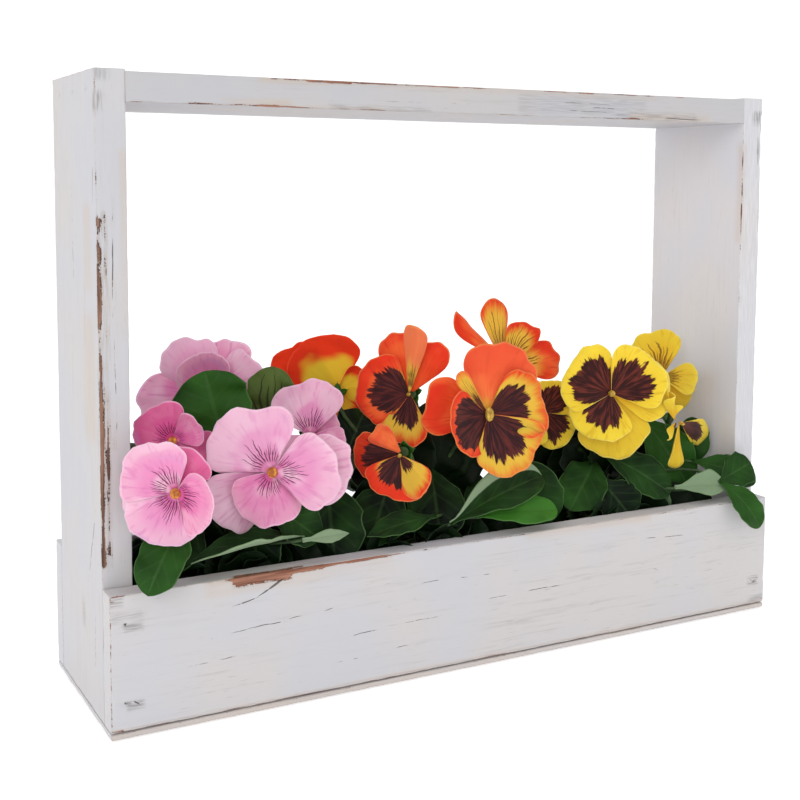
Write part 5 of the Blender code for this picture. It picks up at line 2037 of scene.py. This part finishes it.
def build_leaves(name, leaves, tones, upper):
    """All the blades of one plant, in one piece, each with its own tone."""
    shape = bmesh.new()
    layers = [shape.loops.layers.uv.new(layer) for layer in ("leaf", "draw")]
    for leaf, tone in zip(leaves, tones):
        lay_grid(shape, LEAF_ACROSS, LEAF_ALONG,
                 lambda u, v, leaf=leaf: leaf_point(leaf, u, v), dict(zip(layers, (None, tone))))
    piece = mesh_piece(name, shape)
    piece.data.shade_smooth()
    thicken(piece, LEAF_THICK)
    lower = LEAF_BACK if upper == LEAF_TOP else upper
    fit(piece, leaves[0][0] + "_plant_green", "green", upper, lower)
    return piece


draw = random.Random(23)
FILLS = {plant: fill_leaves(plant, draw) for plant in CROWNS}
build_leaves("pink_olive_leaf", [LEAVES[OLIVE_LEAF]], [leaf_tones_and_shade[OLIVE_LEAF]], LEAF_OLIVE)
for plant in CROWNS:
    own = [(leaf, tone) for leaf, tone in zip(LEAVES, leaf_tones_and_shade)
           if leaf[0] == plant and leaf != LEAVES[OLIVE_LEAF]]
    shown = build_leaves(plant + "_leaves", *zip(*own), LEAF_TOP)
    inner_tones = [(round(draw.uniform(*FILL_TINTS), 2), 0.0) for _ in FILLS[plant]]
    inner = build_leaves(plant + "_inner_shaded_leaves", FILLS[plant], inner_tones, LEAF_INNER_SHADED)
    print(plant, "leaves:", len(own), "inner leaves:", len(FILLS[plant]), "cells:",
          len(shown.data.polygons) + len(inner.data.polygons))

# %% [markdown]
# ## Stems, stalks and sepals
# Each bloom's stem and each leaf's stalk is a Bezier curve with two points, from the plant's crown.
# One curve object holds all of a plant's. Behind each bloom a short cup has five pointed sepals.

# %% The stems and stalks
STEM_DARK = (28, 52, 22)
STEM_LIGHT = (58, 88, 40)
STEM_LIGHT_FROM = (0.35, 0.65)
STEM_TONES = 90
STEM_GRAINS = 900
# How far a stem rises before it bends and how it comes in, as parts of its height
STEM_LEAVES = 0.5
STEM_ARRIVES = 0.25
STEM_SAGS = 0.1
STALK_LEAVES = 0.35
STALK_ARRIVES = 0.3
STEM_ROUND = 2
STEM_CELLS = 10


def stem_material():
    made, tree, shader = new_material("stem_green")
    place = object_place(tree)
    light = step_up(tree, mottle(tree, place, STEM_TONES, 3, 0.6), *STEM_LIGHT_FROM)
    grains = mottle(tree, place, STEM_GRAINS, 2)
    feed(tree, shader, {"Base Color": between(tree, light, STEM_DARK, STEM_LIGHT),
                        "Roughness": 0.6, "Normal": bump(tree, grains, 0.2 * MM, 0.5)})
    return made


def crown_top(plant):
    x, y = CROWNS[plant]
    return Vector((x * MM, y * MM, SOIL_TOP + CROWN_ABOVE * CROWN_ROOTS))


def stem_route(bloom):
    """The four points of the curve from a crown to the calyx behind a bloom."""
    frame_of = bloom_frame(bloom)
    start = crown_top(bloom[0])
    end = frame_of @ Vector((0, 0, -THROAT_HALF - CALYX_LONG))
    back = (frame_of.to_3x3() @ Vector((0, 0, -1))).normalized()
    height = end.z - start.z
    leave = start + Vector((0, 0, height * STEM_LEAVES))
    arrive = end + back * height * STEM_ARRIVES - Vector((0, 0, height * STEM_SAGS))
    return start, leave, arrive, end


def stalk_route(leaf):
    """The four points of the curve from a crown into a leaf's base."""
    base, _length, along, _across, out = leaf_frame(leaf)
    start = crown_top(leaf[0])
    span = (base - start).length
    end = leaf_point(leaf, 0, STALK_INTO_LEAF) - out * STALK_RADIUS
    leave = start + Vector((0, 0, span * STALK_LEAVES))
    return start, leave, base - along * span * STALK_ARRIVES, end


def own_of(plant, pieces):
    """The blooms or leaves of one plant."""
    return [piece for piece in pieces if piece[0] == plant]


def add_stem(curve, route, radius):
    start, leave, arrive, end = route
    spline = curve.splines.new("BEZIER")
    spline.bezier_points.add(1)
    first, last = spline.bezier_points
    first.co, first.handle_left, first.handle_right = start, start, leave
    last.co, last.handle_left, last.handle_right = end, arrive, end
    first.radius = last.radius = radius / STEM_RADIUS


def build_stems(plant):
    curve = bpy.data.curves.new(plant + "_stems", "CURVE")
    curve.dimensions = "3D"
    curve.bevel_depth = STEM_RADIUS
    curve.bevel_resolution = STEM_ROUND
    curve.resolution_u = STEM_CELLS
    curve.use_fill_caps = True
    for bloom in own_of(plant, BLOOMS.values()):
        add_stem(curve, stem_route(bloom), STEM_RADIUS)
    for leaf in own_of(plant, LEAVES) + FILLS[plant]:
        add_stem(curve, stalk_route(leaf), STALK_RADIUS)
    fit(new_piece(plant + "_stems", curve), plant + "_plant_green", "green", STEM_GREEN)
    return len(curve.splines)


STEM_GREEN = stem_material()
print("stems:", {plant: build_stems(plant) for plant in CROWNS})

# %% Crowns, calyx cups and sepals
SEPALS = 5
SEPAL_LONG = 7.5 * MM
SEPAL_WIDE = 2.2 * MM
SEPAL_FLARES = (20, 30)
SEPAL_CUPPED = 0.2
SEPAL_START = 0.12
SEPAL_TAPER = 0.7
SEPAL_CELLS = (4, 8)
SEPAL_TONE = (0.6, 0.0)
CUP_SIDES = 16
CUP_MOUTH = 0.9
CROWN_SIDES = 24
CROWN_TAPER = 0.8


def sepal_point(index, u, v):
    """A point of a sepal, in the bloom's own axes."""
    turn = math.tau * index / SEPALS
    half = SEPAL_WIDE * math.sin(math.pi * min(v + SEPAL_START, 1)) ** SEPAL_TAPER
    least, more = SEPAL_FLARES
    flare = math.radians(least + more * v)
    run = SEPAL_LONG * v
    out = CALYX_NARROW + run * math.sin(flare)
    rise = -THROAT_HALF - CALYX_LONG + run * math.cos(flare)
    point = Vector((half * u, out + SEPAL_CUPPED * half * (1 - u * u), rise))
    return Matrix.Rotation(turn, 3, "Z") @ point


def add_cone(shape, frame_of, low, high, sides, radii):
    """A closed cone round a frame's own Z, from one height to another."""
    bmesh.ops.create_cone(shape, cap_ends=True, segments=sides, radius1=radii[0],
                          radius2=radii[1], depth=high - low,
                          matrix=frame_of @ Matrix.Translation((0, 0, (low + high) / 2)))


def build_sepals(plant):
    shape = bmesh.new()
    layers = [shape.loops.layers.uv.new(layer) for layer in ("leaf", "draw")]
    maps = dict(zip(layers, (None, SEPAL_TONE)))
    for bloom in own_of(plant, BLOOMS.values()):
        frame_of = bloom_frame(bloom)
        for index in range(SEPALS):
            lay_grid(shape, *SEPAL_CELLS, lambda u, v: frame_of @ sepal_point(index, u, v), maps)
    sepals = mesh_piece(plant + "_sepals", shape)
    sepals.data.shade_smooth()
    thicken(sepals, LEAF_THICK)
    fit(sepals, plant + "_plant_green", "green", LEAF_TOP, LEAF_TOP)


def build_crown(plant):
    """A plant's crown in the soil, and the short cup behind each of its blooms."""
    x, y = CROWNS[plant]
    shape = bmesh.new()
    add_cone(shape, Matrix.Translation((x * MM, y * MM, SOIL_TOP)), -CROWN_DEEP, CROWN_ABOVE,
             CROWN_SIDES, (CROWN_RADIUS, CROWN_RADIUS * CROWN_TAPER))
    cup_top = -THROAT_HALF - GAP
    for bloom in own_of(plant, BLOOMS.values()):
        add_cone(shape, bloom_frame(bloom), cup_top - CALYX_LONG, cup_top, CUP_SIDES,
                 (CALYX_NARROW, THROAT_RADIUS * CUP_MOUTH))
    fit(mesh_piece(plant + "_crown", shape), plant + "_plant_green", "green", STEM_GREEN)


for plant in CROWNS:
    build_crown(plant)
    build_sepals(plant)
print("sepals a bloom:", SEPALS)
